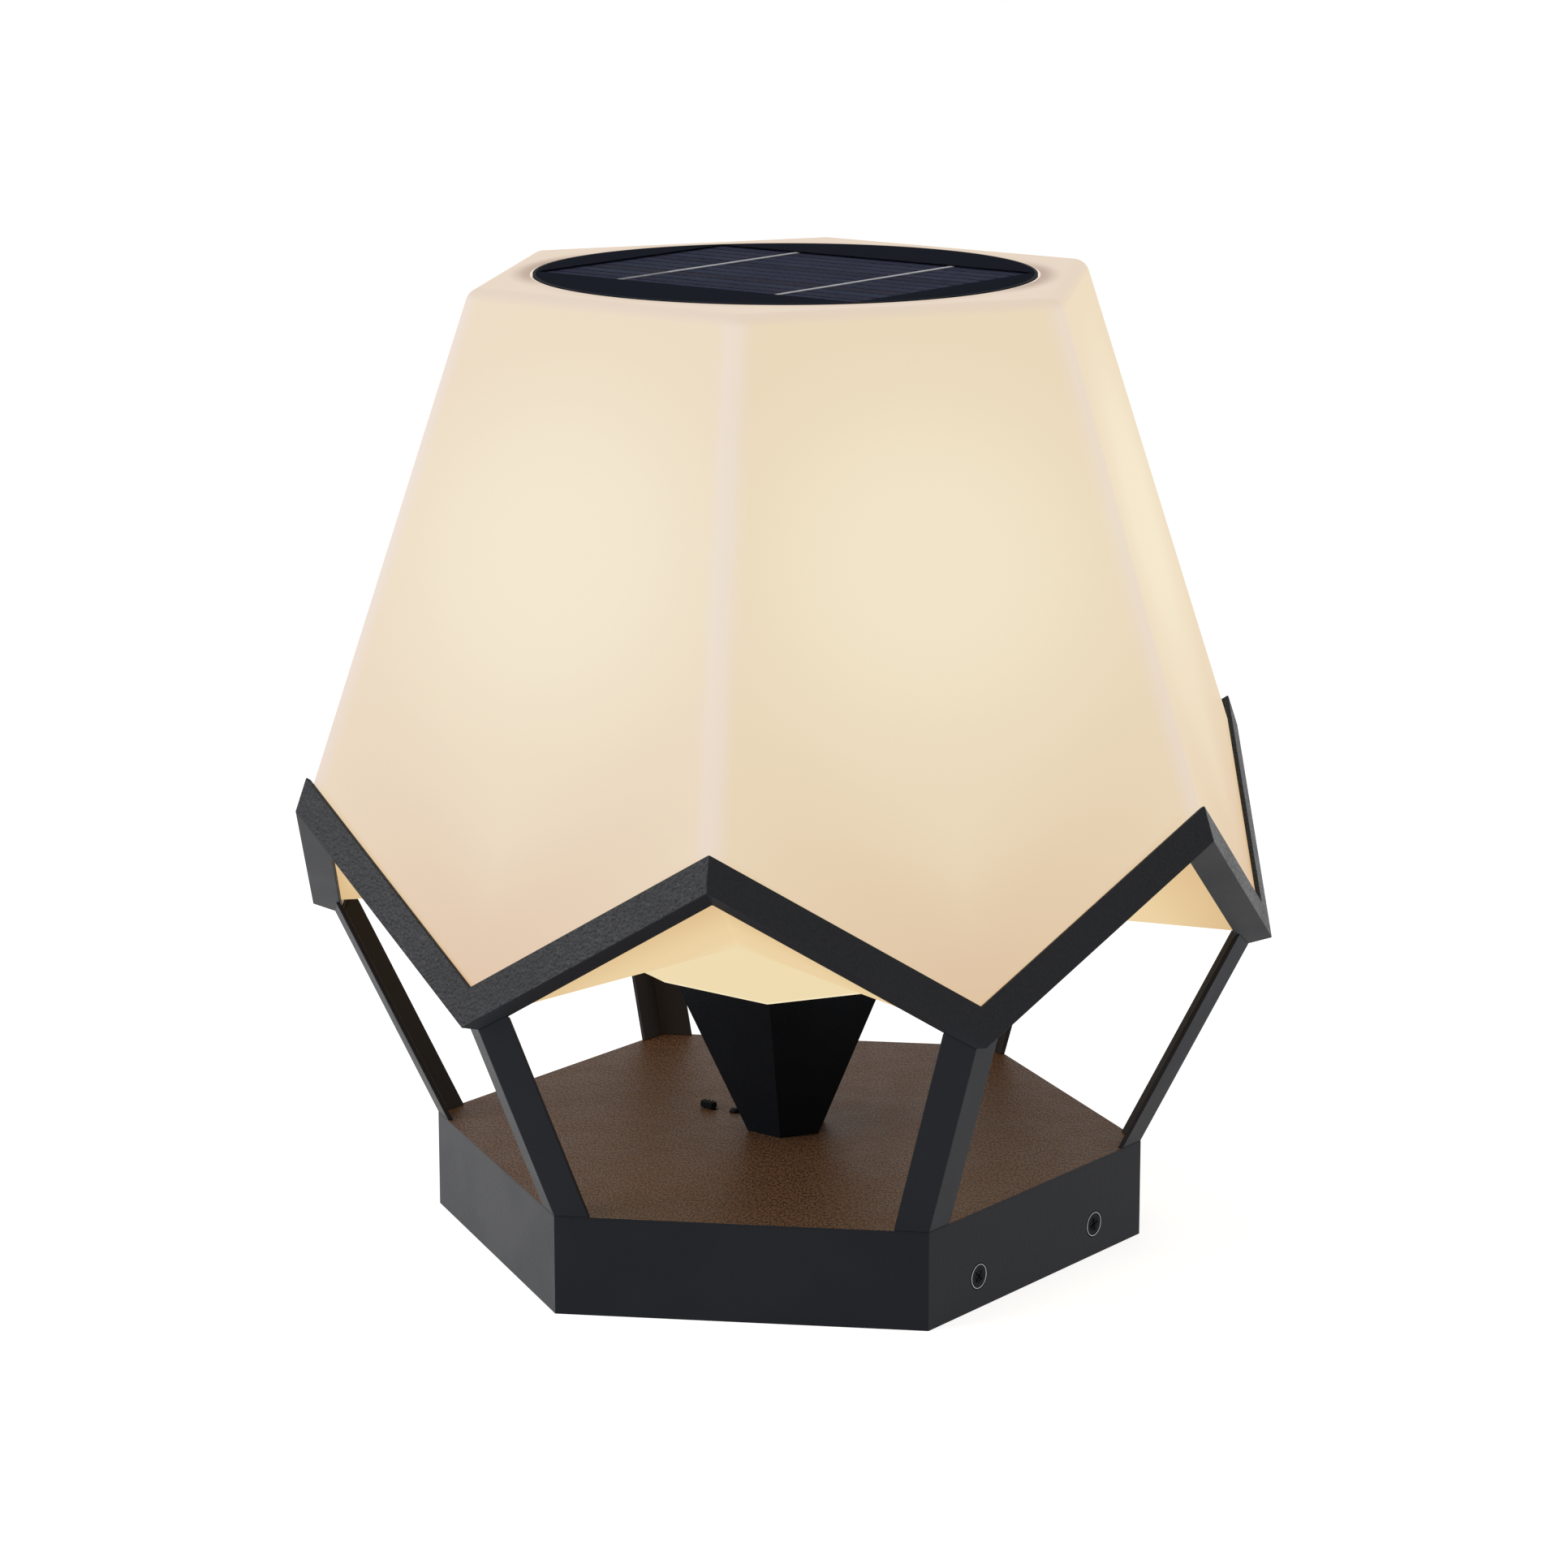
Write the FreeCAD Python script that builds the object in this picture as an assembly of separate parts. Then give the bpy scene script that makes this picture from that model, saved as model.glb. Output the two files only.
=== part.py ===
import FreeCAD, Part
import os
from math import cos, radians, sin, sqrt
from FreeCAD import Vector

# Hexagonal solar post light: a sheet metal frame of a base skirt, six folded legs and a zigzag belt
# carries an opal shade with a round solar panel in its top. A tapered post holds the shade's middle.
# Millimetres, +Z up. The origin is the middle of the base's underside. Base corners and belt valleys
# lie at azimuths 0, 60, 120 and so on, and belt peaks and shade edges lie half way between them.

# Symmetry
sides = 6
sector = 360.0 / sides
half = sector / 2

# Sheet metal frame
base_corner_radius = 110.0
sheet = 1.5
peak_height = 144.4
valley_radius = 148.7
valley_height = 95.9
belt_width = 9.8
belt_depth = 9.5
leg_flange = 10.0
leg_set_in = 7.3

# Clearances and cutting
seat = 0.3
thread_gap = 0.1
overrun = 2.0

# Deck on the skirt's inner ledge, with a thin rim over the skirt's top
deck_thickness = 2.0
deck_rim_thickness = 0.5
deck_skin = 0.5
ledge_width = 9.0

# Mounting plate inside the skirt
mount_thickness = 2.5
mount_opening_radius = 14.0
anchor_inset = 18.46
anchor_hole_radius = 3.25
tab_end = 12.0
tab_height = 18.0
skirt_screw_spacing = 60.0
skirt_screw_height = 9.8
skirt_screw_azimuths = (-30.0, 150.0)

# Screws
m4_radius = 2.0
m4_head_radius = 4.0
m4_length = 8.0
countersink_play = 0.15
m3_radius = 1.5
m3_head_radius = 2.8
m3_head_height = 1.8
hole_play = 0.3

# Shade
gasket_thickness = 1.0
gasket_set_back = 0.7
shade_wall = 2.4
shade_top_radius = 99.6
shade_top_height = 295.3
shade_top_wall = 3.0
shade_edge_radius = 5.0
lower_wall = 3.0
crease_radius = 98.9
fold_lift = 1.4
funnel_rim_radius = 39.8
funnel_drop = 33.7

# Tapered post and the threaded tube that holds it
post_foot_radius = 12.7
post_tuck = 3.4
post_wall = 2.2
post_foot_wall = 6.0
post_top_wall = 3.0
tube_radius = 5.0
tube_bore_radius = 3.4
tube_above_deck = 5.0
washer_radius = 8.0
washer_thickness = 1.0
nut_across_flats = 16.0
nut_height = 4.0
tube_end = 0.6

# Light engine on the post's top
led_plate_margin = 2.5
led_plate_thickness = 2.0
led_board_gap = 2.2
led_board_thickness = 1.6
led_inset = 6.0
led_count = 12
led_length = 3.5
led_width = 2.8
led_height = 0.7
led_screw_inset = 5.0
led_screw_count = 3
lead_hole_radius = 4.5

# Solar panel in the shade's top
panel_margin = 11.1
panel_proud = 0.3
panel_rim = 1.0
panel_floor = 1.5
panel_recess_depth = 5.0
panel_seal_thickness = 0.5
panel_seal_width = 4.0
backsheet_thickness = 2.4
cell_thickness = 0.4
busbar_thickness = 0.2
busbar_width = 1.6
busbar_spacing = 59.0
array_width = 88.0
array_corner_gap = 0.6
strip_count = 12
strip_gap = 0.9
strip_azimuth = -30.0
carrier_ledge_width = 5.2
carrier_rim = 6.8
carrier_ledge = 2.5
carrier_screw_count = 6
carrier_screw_length = 6.6
junction_length = 34.0
junction_width = 22.0
junction_height = 9.0
lead_radius = 1.5
lead_bend_radius = 9.0
lead_entry_depth = 4.0

# Electronics tray under the deck, in its own frame: along is outwards at the control azimuth
control_azimuth = 150.0
tray_margin = 6.0
tray_ground_gap = 2.0
tray_wall = 2.0
tray_flange = 6.0
tray_corner_radius = 4.0
tray_seal_thickness = 1.8
tray_seal_width = 3.0
tray_screw_inset = 3.0

# Battery cells and their cradle
cell_radius = 9.2
cell_length = 65.0
cell_gap = 1.6
cell_headroom = 1.8
nut_room = 2.6
cradle_wall = 3.0
cradle_base = 1.0
cradle_height_share = 0.6
contact_thickness = 0.6
contact_side = 8.0

# Control board with the slide switch and the push button
board_lead_run = 4.0
board_length = 33.0
board_half_width = 22.0
board_thickness = 1.6
board_drop = 5.8
standoff_radius = 3.0
standoff_inset = 4.0
switch_place = 30.8
switch_body_length = 9.0
switch_body_width = 4.2
switch_body_height = 3.6
switch_pocket_depth = 2.2
switch_travel = 2.0
knob_length = 4.6
knob_width = 2.8
knob_height = 2.2
knob_groove_count = 3
knob_groove_share = 0.14
knob_round = 0.3
stem_length = 2.0
stem_width = 1.6
button_place = 21.6
button_across = -1.9
button_radius = 1.7
button_height = 1.3
button_flange_radius = 2.6
button_flange_thickness = 0.9
button_travel = 0.5
button_plunger_radius = 1.0
tactile_side = 5.0
tactile_height = 2.2
connector_length = 8.0
connector_width = 8.0

# Derived heights of the base, which is as tall as what lies in it
tray_floor_height = mount_thickness + tray_ground_gap
tray_floor_top = tray_floor_height + tray_wall
cell_axis_height = tray_floor_top + cradle_base + seat + cell_radius
deck_bottom = cell_axis_height + cell_radius + cell_headroom
deck_top = deck_bottom + deck_thickness
skirt_top = deck_top - deck_rim_thickness
ledge_bottom = deck_bottom - sheet
tray_top = deck_bottom - tray_seal_thickness
panel_top = shade_top_height + panel_proud

# Derived lean of the faces, from the belt's low corners up to the rim of the shade's top
shade_lift = sheet + gasket_thickness + seat
shade_inset = sheet + seat
lower_inset = shade_inset + shade_wall + seat
shade_top_apothem = shade_top_radius * cos(radians(half))
lean_run = valley_radius - shade_top_apothem
lean_climb = shade_top_height - valley_height
lean_slant = sqrt(lean_climb ** 2 + lean_run ** 2 - shade_inset ** 2)
face_fall = (lean_run * lean_climb - shade_inset * lean_slant) / (lean_climb ** 2 - shade_inset ** 2)
reach = 3 * valley_radius

# Derived belt geometry for the valley at azimuth 0 and the peak at azimuth half
up = Vector(0, 0, 1)
origin = Vector(0, 0, 0)


def polar(radius, azimuth, height):
    return Vector(radius * cos(radians(azimuth)), radius * sin(radians(azimuth)), height)


def corner_radius_of(apothem):
    return apothem / cos(radians(half))


valley = Vector(valley_radius, 0, valley_height)
peak_apothem = valley_radius - face_fall * (peak_height - valley_height)
peak = polar(corner_radius_of(peak_apothem), half, peak_height)
outward = Vector(1, 0, face_fall).normalize()
arm = (peak - valley).normalize()
rise = outward.cross(arm)
rise_mirrored = Vector(rise.x, -rise.y, rise.z)


def hexagon(corner_radius, height, first_corner=0.0):
    return [polar(corner_radius, first_corner + sector * k, height) for k in range(sides)]


def flat_face(corners):
    return Part.Face(Part.makePolygon(corners + corners[:1]))


def hex_prism(corner_radius, low, high, first_corner=0.0):
    return flat_face(hexagon(corner_radius, low, first_corner)).extrude(up * (high - low))


def hex_frustum(low_radius, low, high_radius, high, first_corner=0.0):
    lower = hexagon(low_radius, low, first_corner)
    upper = hexagon(high_radius, high, first_corner)
    faces = [flat_face(lower[::-1]), flat_face(upper)]
    for k in range(sides):
        following = (k + 1) % sides
        faces.append(flat_face([lower[k], lower[following], upper[following], upper[k]]))
    shell = Part.makeShell(faces)
    shell.sewShape()
    return Part.makeSolid(shell)


def beyond(point, normal):
    """Everything within reach on the normal's side of the plane through a point."""
    block = Part.makeBox(2 * reach, 2 * reach, reach, Vector(-reach, -reach, 0))
    block.Placement = FreeCAD.Placement(point, FreeCAD.Rotation(up, normal))
    return block


def wedge(low_azimuth, high_azimuth):
    """The space between two vertical planes through the axis."""
    past_low = beyond(origin, polar(1, low_azimuth + 90, 0))
    before_high = beyond(origin, polar(1, high_azimuth - 90, 0))
    return past_low.common(before_high)


def turned(shape, azimuth):
    copy = shape.copy()
    copy.rotate(origin, up, azimuth)
    return copy


def joined(shapes):
    whole = shapes[0].fuse(shapes[1:]) if len(shapes) > 1 else shapes[0]
    return whole.removeSplitter()


def ring(outer_radius, inner_radius, low, high):
    outer = Part.makeCylinder(outer_radius, high - low, up * low)
    return outer.cut(Part.makeCylinder(inner_radius, high - low, up * low))


def box(x_low, x_high, y_low, y_high, z_low, z_high):
    return Part.makeBox(x_high - x_low, y_high - y_low, z_high - z_low, Vector(x_low, y_low, z_low))


def controls(shape):
    """A shape drawn along X, turned to the azimuth of the controls."""
    return turned(shape, control_azimuth)


def screw(shank_radius, head_radius, head_height, length):
    """A screw along +Z with its head's underside at the origin and its shank going down."""
    head = Part.makeCylinder(head_radius, head_height)
    shank = Part.makeCylinder(shank_radius, length, up * -length)
    return head.fuse(shank).removeSplitter()


def m3_screw(length):
    return screw(m3_radius, m3_head_radius, m3_head_height, length)


def countersink(play, above):
    """The cone of a countersunk head with its top at the origin, widened by a play and carried on above."""
    depth = sheet + seat
    slope = (m4_head_radius - m4_radius) / depth
    top_radius = m4_head_radius + play + slope * above
    return Part.makeCone(m4_radius + play, top_radius, depth + above, up * -depth)


def placed(shape, point, direction):
    """A shape drawn along +Z, moved to a point and pointed in a direction."""
    copy = shape.copy()
    copy.Placement = FreeCAD.Placement(point, FreeCAD.Rotation(up, direction))
    return copy


def hole(point, direction, radius, depth):
    """A drill that starts an overrun before the point and goes a depth past it."""
    start = point - direction * overrun
    return Part.makeCylinder(radius, depth + overrun, start, direction)


def face_points(apothem, spacing, height, azimuth):
    """Two points on a face of the base, either side of its middle."""
    points = []
    for side in (-1, 1):
        point = Vector(apothem, side * spacing / 2, height)
        points.append(FreeCAD.Rotation(up, azimuth).multVec(point))
    return points


# Skirt, ledge, deck and mounting plate

skirt_apothem = base_corner_radius * cos(radians(half))
skirt_inner_apothem = skirt_apothem - sheet


def base_skirt():
    inner_radius = corner_radius_of(skirt_inner_apothem)
    ledge_radius = corner_radius_of(skirt_inner_apothem - ledge_width)
    wall = hex_prism(base_corner_radius, 0, skirt_top)
    wall = wall.cut(hex_prism(inner_radius, -overrun, ledge_bottom))
    wall = wall.cut(hex_prism(inner_radius, deck_bottom, skirt_top + overrun))
    wall = wall.cut(hex_prism(ledge_radius, -overrun, skirt_top + overrun))
    for azimuth in skirt_screw_azimuths:
        outside = polar(1, azimuth, 0)
        for point in face_points(skirt_apothem, skirt_screw_spacing, skirt_screw_height, azimuth):
            wall = wall.cut(placed(countersink(countersink_play, overrun), point, outside))
    for point in ledge_points(ledge_bottom):
        wall = wall.cut(hole(point, up, m3_radius + hole_play, sheet + overrun))
    return wall


def ledge_points(height):
    middle = skirt_inner_apothem - ledge_width / 2
    return [polar(middle, half + sector * k, height) for k in range(sides)]


def base_deck():
    deck = hex_prism(corner_radius_of(skirt_inner_apothem - seat), deck_bottom, deck_top)
    deck = joined([deck, hex_prism(base_corner_radius, skirt_top, deck_top)])
    deck = deck.cut(hole(up * deck_bottom, up, tube_radius + hole_play, deck_thickness + overrun))
    slot_half_length = (stem_length + switch_travel) / 2 + seat
    slot_half_width = stem_width / 2 + seat
    slot_middle = switch_place - switch_travel / 2
    slot = box(slot_middle - slot_half_length, slot_middle + slot_half_length,
               -slot_half_width, slot_half_width, deck_bottom - overrun, deck_top + overrun)
    button_low = Vector(button_place, button_across, deck_bottom)
    opening = hole(button_low, up, button_radius + seat, deck_thickness + overrun)
    deck = deck.cut(controls(slot)).cut(controls(opening))
    thread_depth = deck_thickness - deck_skin + thread_gap
    for point in ledge_points(deck_bottom) + tray_screw_points(deck_bottom):
        deck = deck.cut(hole(point, up, m3_radius + thread_gap, thread_depth))
    return deck


def deck_screws():
    length = sheet + deck_thickness - deck_skin
    one = m3_screw(length)
    return [placed(one, point, -up) for point in ledge_points(ledge_bottom)]


def mount_plate():
    apothem = skirt_inner_apothem - seat
    plate = hex_prism(corner_radius_of(apothem), 0, mount_thickness)
    plate = plate.cut(hole(origin, up, mount_opening_radius, mount_thickness + overrun))
    tab_half_length = skirt_screw_spacing / 2 + tab_end
    for azimuth in skirt_screw_azimuths:
        tab = box(apothem - mount_thickness, apothem, -tab_half_length, tab_half_length, 0, tab_height)
        plate = plate.fuse(turned(tab, azimuth))
        outside = polar(1, azimuth, 0)
        for point in face_points(apothem, skirt_screw_spacing, skirt_screw_height, azimuth):
            plate = plate.cut(hole(point, -outside, m4_radius + thread_gap, mount_thickness + overrun))
    for k in range(sides // 2):
        place = polar(apothem - anchor_inset, half + 2 * sector * k, 0)
        plate = plate.cut(hole(place, up, anchor_hole_radius, mount_thickness + overrun))
    return plate.removeSplitter()


def skirt_screws():
    """Countersunk screws, flush with the skirt, into the mounting plate's tabs."""
    screws = []
    shank = Part.makeCylinder(m4_radius, m4_length, up * -m4_length)
    one = countersink(0, 0).fuse(shank).removeSplitter()
    for azimuth in skirt_screw_azimuths:
        outside = polar(1, azimuth, 0)
        for point in face_points(skirt_apothem, skirt_screw_spacing, skirt_screw_height, azimuth):
            screws.append(placed(one, point, outside))
    return screws


# Legs and belt

def leg(azimuth):
    """A strip folded to an angle, from a base corner up to the belt's underside at a valley."""
    foot = Vector(base_corner_radius, 0, deck_top)
    head = valley - outward * leg_set_in
    along = (head - foot).normalize()
    run = belt_depth
    flanges = []
    for side in (1, -1):
        edge = polar(1, side * (90 + half), 0)
        across = (edge - along * edge.dot(along)).normalize()
        inward = along.cross(across) * side
        low = foot - along * run
        high = head + along * run
        corners = [low, high, high + across * leg_flange, low + across * leg_flange]
        flanges.append(flat_face(corners).extrude(inward * sheet))
    strip = joined(flanges)
    strip = strip.common(beyond(up * deck_top, up))
    above = beyond(valley, rise).common(beyond(valley, rise_mirrored))
    return turned(strip.cut(above), azimuth)


def arm_bar(section):
    """A bar along the belt from valley to peak, mitred at both, from points of depth and rise."""
    points = [valley - outward * depth + rise * height for depth, height in section]
    run = belt_width + belt_depth
    face = flat_face(points)
    face.translate(arm * -run)
    length = (peak - valley).Length + 2 * run
    return face.extrude(arm * length).common(wedge(0, half))


def chevron(section):
    """Two mirrored bars that meet at the valley."""
    right = arm_bar(section)
    left = right.mirror(origin, Vector(0, 1, 0))
    return joined([right, left])


def belt_segment(azimuth):
    section = [(0, 0), (belt_depth, 0), (belt_depth, sheet), (sheet, sheet),
               (sheet, belt_width), (0, belt_width)]
    return turned(chevron(section), azimuth)


def shade_gasket():
    low = sheet
    high = low + gasket_thickness
    outer = shade_inset
    inner = belt_depth - gasket_set_back
    strip = chevron([(outer, low), (inner, low), (inner, high), (outer, high)])
    return joined([turned(strip, sector * k) for k in range(sides)])


# Shade

def shade_radius(inset, height):
    """Corner radius at a height of the planes that lie an inset inside the belt's outer faces."""
    apothem = valley_radius - face_fall * (height - valley_height) - inset * sqrt(1 + face_fall ** 2)
    return corner_radius_of(apothem)


def shade_body(inset, low, high):
    return hex_frustum(shade_radius(inset, low), low, shade_radius(inset, high), high, half)


def above_belt(lift):
    """The space above the belt's inward flanges, raised by a lift."""
    start = valley + up * (lift / rise.z)
    block = beyond(start, rise).common(beyond(start, rise_mirrored)).common(wedge(-half, half))
    return joined([turned(block, sector * k) for k in range(sides)])


def shade_upper():
    low = valley_height - belt_depth
    outer = shade_body(shade_inset, low, shade_top_height)
    edges = []
    for edge in outer.Edges:
        if edge.BoundBox.ZMax > shade_top_height - overrun:
            edges.append(edge)
    outer = outer.makeFillet(shade_edge_radius, edges)
    inner = shade_body(shade_inset + shade_wall, low - overrun, shade_top_height - shade_top_wall)
    shell = outer.cut(inner)
    shell = shell.cut(hole(up * (shade_top_height - shade_top_wall), up, panel_radius + seat,
                           shade_top_wall + overrun))
    shell = shell.common(above_belt(shade_lift))
    for point in carrier_screw_points(shade_top_height - shade_top_wall):
        shell = shell.cut(hole(point, up, m3_radius + thread_gap, carrier_thread_depth + thread_gap))
    return shell


def crease_point(azimuth_side):
    """Where the shade's underside folds down to the funnel, on the azimuth of a peak."""
    flat = polar(crease_radius, azimuth_side * half, 0)
    fall = rise.x * (flat.x - valley.x) + rise.y * (abs(flat.y) - valley.y)
    return flat + up * (valley_height + (shade_lift - fall) / rise.z)


funnel_rim_height = crease_point(1).z - funnel_drop


def underside_block():
    """The space above the shade's underside: a funnel with a star of folds round it."""
    crease = crease_point(1)
    crease_mirrored = crease_point(-1)
    cap = peak_height + belt_width
    start = valley + up * (shade_lift / rise.z)
    notch = start - outward * belt_depth + up * fold_lift
    roof = (crease - notch).cross(crease_mirrored - notch)
    roof = roof if roof.z > 0 else -roof
    fold = beyond(start, rise).common(beyond(start, rise_mirrored))
    fold = fold.common(beyond(notch, roof)).common(wedge(-half, half))
    folds = [turned(fold, sector * k) for k in range(sides)]
    funnel = hex_frustum(funnel_rim_radius, funnel_rim_height, crease_radius, crease.z, half)
    core = hex_prism(crease_radius, crease.z, cap, half)
    block = joined(folds + [funnel, core])
    return block.common(shade_body(lower_inset, funnel_rim_height - overrun, cap))


def shade_lower():
    block = underside_block()
    lifted = block.copy()
    lifted.translate(up * lower_wall)
    shell = block.cut(lifted)
    shell = shell.cut(hole(up * funnel_rim_height, up, lead_hole_radius, lower_wall + overrun))
    for point in led_screw_points(funnel_rim_height):
        shell = shell.cut(hole(point, up, m3_radius + hole_play, lower_wall + overrun))
    return shell


# Post

post_top_radius = funnel_rim_radius - post_tuck


def post_shell():
    low = deck_top
    high = funnel_rim_height
    slope = (post_top_radius - post_foot_radius) / (high - low)

    def radius_at(height):
        return post_foot_radius + slope * (height - low)

    outer = hex_frustum(post_foot_radius, low, post_top_radius, high, half)
    inner_low = low + post_foot_wall
    inner_high = high - post_top_wall
    inner = hex_frustum(radius_at(inner_low) - post_wall, inner_low,
                        radius_at(inner_high) - post_wall, inner_high, half)
    shell = outer.cut(inner)
    shell = shell.cut(hole(up * low, up, tube_radius + thread_gap, post_foot_wall + overrun))
    shell = shell.cut(hole(up * inner_high, up, lead_hole_radius, post_top_wall + overrun))
    for point in led_screw_points(high):
        shell = shell.cut(hole(point, -up, m3_radius + thread_gap, post_top_wall + overrun))
    return shell


washer_bottom = deck_bottom - washer_thickness
nut_bottom = washer_bottom - nut_height
tube_bottom = nut_bottom - tube_end


def post_tube():
    return ring(tube_radius, tube_bore_radius, tube_bottom, deck_top + tube_above_deck)


def post_washer():
    return ring(washer_radius, tube_radius + hole_play, washer_bottom, deck_bottom)


def post_nut():
    nut = hex_prism(corner_radius_of(nut_across_flats / 2), nut_bottom, washer_bottom)
    return nut.cut(hole(up * nut_bottom, up, tube_radius + thread_gap, nut_height + overrun))


# Light engine

led_plate_radius = funnel_rim_radius * cos(radians(half)) - led_plate_margin
led_screw_circle_radius = led_plate_radius - led_screw_inset
led_board_radius = led_screw_circle_radius - m3_head_radius - led_board_gap
led_circle_radius = led_board_radius - led_inset
led_plate_bottom = funnel_rim_height + lower_wall
led_plate_top = led_plate_bottom + led_plate_thickness
led_board_top = led_plate_top + led_board_thickness


def led_screw_points(height):
    step = 360.0 / led_screw_count
    return [polar(led_screw_circle_radius, step * k, height) for k in range(led_screw_count)]


def led_plate():
    plate = ring(led_plate_radius, lead_hole_radius, led_plate_bottom, led_plate_top)
    for point in led_screw_points(led_plate_bottom):
        plate = plate.cut(hole(point, up, m3_radius + hole_play, led_plate_thickness + overrun))
    return plate


def led_screws():
    length = led_plate_thickness + lower_wall + post_top_wall
    return [placed(m3_screw(length), point, up) for point in led_screw_points(led_plate_top)]


def led_board():
    return ring(led_board_radius, lead_hole_radius, led_plate_top, led_board_top)


def led_chips():
    chip = box(-led_length / 2, led_length / 2, -led_width / 2, led_width / 2, 0, led_height)
    chip.translate(Vector(led_circle_radius, 0, led_board_top))
    return [turned(chip, 360.0 / led_count * k) for k in range(led_count)]


# Solar panel

panel_radius = shade_top_apothem - panel_margin
carrier_bore_radius = panel_radius - carrier_ledge_width
carrier_radius = panel_radius + carrier_rim
panel_seat = shade_top_height - panel_recess_depth
tray_flange_bottom = panel_seat + panel_seal_thickness
panel_floor_top = tray_flange_bottom + panel_floor
backsheet_top = panel_floor_top + backsheet_thickness
cells_top = backsheet_top + cell_thickness
busbars_top = cells_top + busbar_thickness
panel_inner_radius = panel_radius - panel_rim
array_length = 2 * sqrt((panel_inner_radius - array_corner_gap) ** 2 - (array_width / 2) ** 2)
carrier_bottom = panel_seat - carrier_ledge
carrier_top = shade_top_height - shade_top_wall
carrier_thread_depth = carrier_screw_length - (carrier_top - carrier_bottom)
junction_top = tray_flange_bottom - panel_floor
junction_bottom = junction_top - junction_height


def panel_tray():
    tray = Part.makeCylinder(panel_radius, panel_top - tray_flange_bottom, up * tray_flange_bottom)
    tray = tray.fuse(Part.makeCylinder(carrier_bore_radius - seat, panel_floor, up * junction_top))
    depth = panel_top - panel_floor_top
    tray = tray.cut(Part.makeCylinder(panel_inner_radius, depth + overrun, up * panel_floor_top))
    return tray.removeSplitter()


def panel_seal():
    inner = carrier_bore_radius
    return ring(inner + panel_seal_width, inner, panel_seat, tray_flange_bottom)


def solar_backsheet():
    return Part.makeCylinder(panel_inner_radius - seat / 2, backsheet_thickness, up * panel_floor_top)


def solar_cells():
    pitch = array_width / strip_count
    width = pitch - strip_gap
    strips = []
    for k in range(strip_count):
        middle = (k - (strip_count - 1) / 2) * pitch
        strip = box(-array_length / 2, array_length / 2, middle - width / 2, middle + width / 2,
                    backsheet_top, cells_top)
        strips.append(turned(strip, strip_azimuth))
    return strips


def solar_busbars():
    bars = []
    for side in (-1, 1):
        middle = side * busbar_spacing / 2
        bar = box(middle - busbar_width / 2, middle + busbar_width / 2, -array_width / 2, array_width / 2,
                  cells_top, busbars_top)
        bars.append(turned(bar, strip_azimuth))
    return bars


def solar_glass():
    return Part.makeCylinder(panel_inner_radius - seat / 2, panel_top - busbars_top, up * busbars_top)


def carrier_screw_points(height):
    middle = (panel_radius + carrier_radius) / 2 + seat
    step = 360.0 / carrier_screw_count
    return [polar(middle, step * k, height) for k in range(carrier_screw_count)]


def panel_carrier():
    carrier = ring(carrier_radius, carrier_bore_radius, carrier_bottom, carrier_top)
    carrier = carrier.cut(Part.makeCylinder(panel_radius + seat, panel_recess_depth, up * panel_seat))
    for point in carrier_screw_points(carrier_bottom):
        carrier = carrier.cut(hole(point, up, m3_radius + hole_play, panel_recess_depth + overrun))
    return carrier


def carrier_screws():
    one = m3_screw(carrier_screw_length)
    return [placed(one, point, -up) for point in carrier_screw_points(carrier_bottom)]


def junction_box():
    body = box(-junction_length / 2, junction_length / 2, -junction_width / 2, junction_width / 2,
               junction_bottom, junction_top)
    upright = [edge for edge in body.Edges if edge.BoundBox.ZLength > junction_height / 2]
    body = body.makeFillet(junction_height / 4, upright)
    return body.cut(hole(up * junction_bottom, up, lead_radius + hole_play, lead_entry_depth))


def panel_lead():
    """The panel's lead down the axis, through the post, and round to the control board's connector."""
    top = up * (junction_bottom + lead_entry_depth - seat)
    bend_top = up * (connector_middle + lead_bend_radius)
    middle = Vector(lead_bend_radius, 0, connector_middle + lead_bend_radius)
    on_arc = middle + Vector(-cos(radians(45)), 0, -sin(radians(45))) * lead_bend_radius
    bend_end = Vector(lead_bend_radius, 0, connector_middle)
    end = Vector(board_start - seat, 0, connector_middle)
    edges = [Part.LineSegment(top, bend_top).toShape(), Part.Arc(bend_top, on_arc, bend_end).toShape(),
             Part.LineSegment(bend_end, end).toShape()]
    section = Part.Wire(Part.Circle(top, -up, lead_radius).toShape())
    return controls(Part.Wire(edges).makePipeShell([section], True, False))


# Electronics under the deck

board_top = deck_bottom - board_drop
board_bottom = board_top - board_thickness
board_start = lead_bend_radius + board_lead_run
board_end = board_start + board_length
connector_middle = (tray_floor_top + board_bottom) / 2
cell_near_place = -(corner_radius_of(nut_across_flats / 2) + nut_room + cradle_base + cell_radius)
cell_far_place = cell_near_place - 2 * cell_radius - cell_gap
cradle_half_length = cell_length / 2 + seat + contact_thickness + seat + cradle_wall
tray_inner_end = cell_far_place - cell_radius - cradle_base - tray_margin
tray_outer_end = board_end + tray_margin
tray_half_width = max(cradle_half_length, board_half_width) + tray_margin


def tray_outline(grow, low, high):
    """A block of the tray's plan grown on all sides, with rounded corners."""
    block = box(tray_inner_end - grow, tray_outer_end + grow, -tray_half_width - grow,
                tray_half_width + grow, low, high)
    upright = [edge for edge in block.Edges if edge.BoundBox.ZLength > (high - low) / 2]
    return block.makeFillet(tray_corner_radius + grow, upright)


def tray_screw_points(height):
    points = []
    middle = (tray_inner_end + tray_outer_end) / 2
    for side in (-1, 1):
        across = side * (tray_half_width + tray_screw_inset)
        for along in (tray_inner_end + tray_flange, middle, tray_outer_end - tray_flange):
            points.append(FreeCAD.Rotation(up, control_azimuth).multVec(Vector(along, across, height)))
    return points


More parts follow.
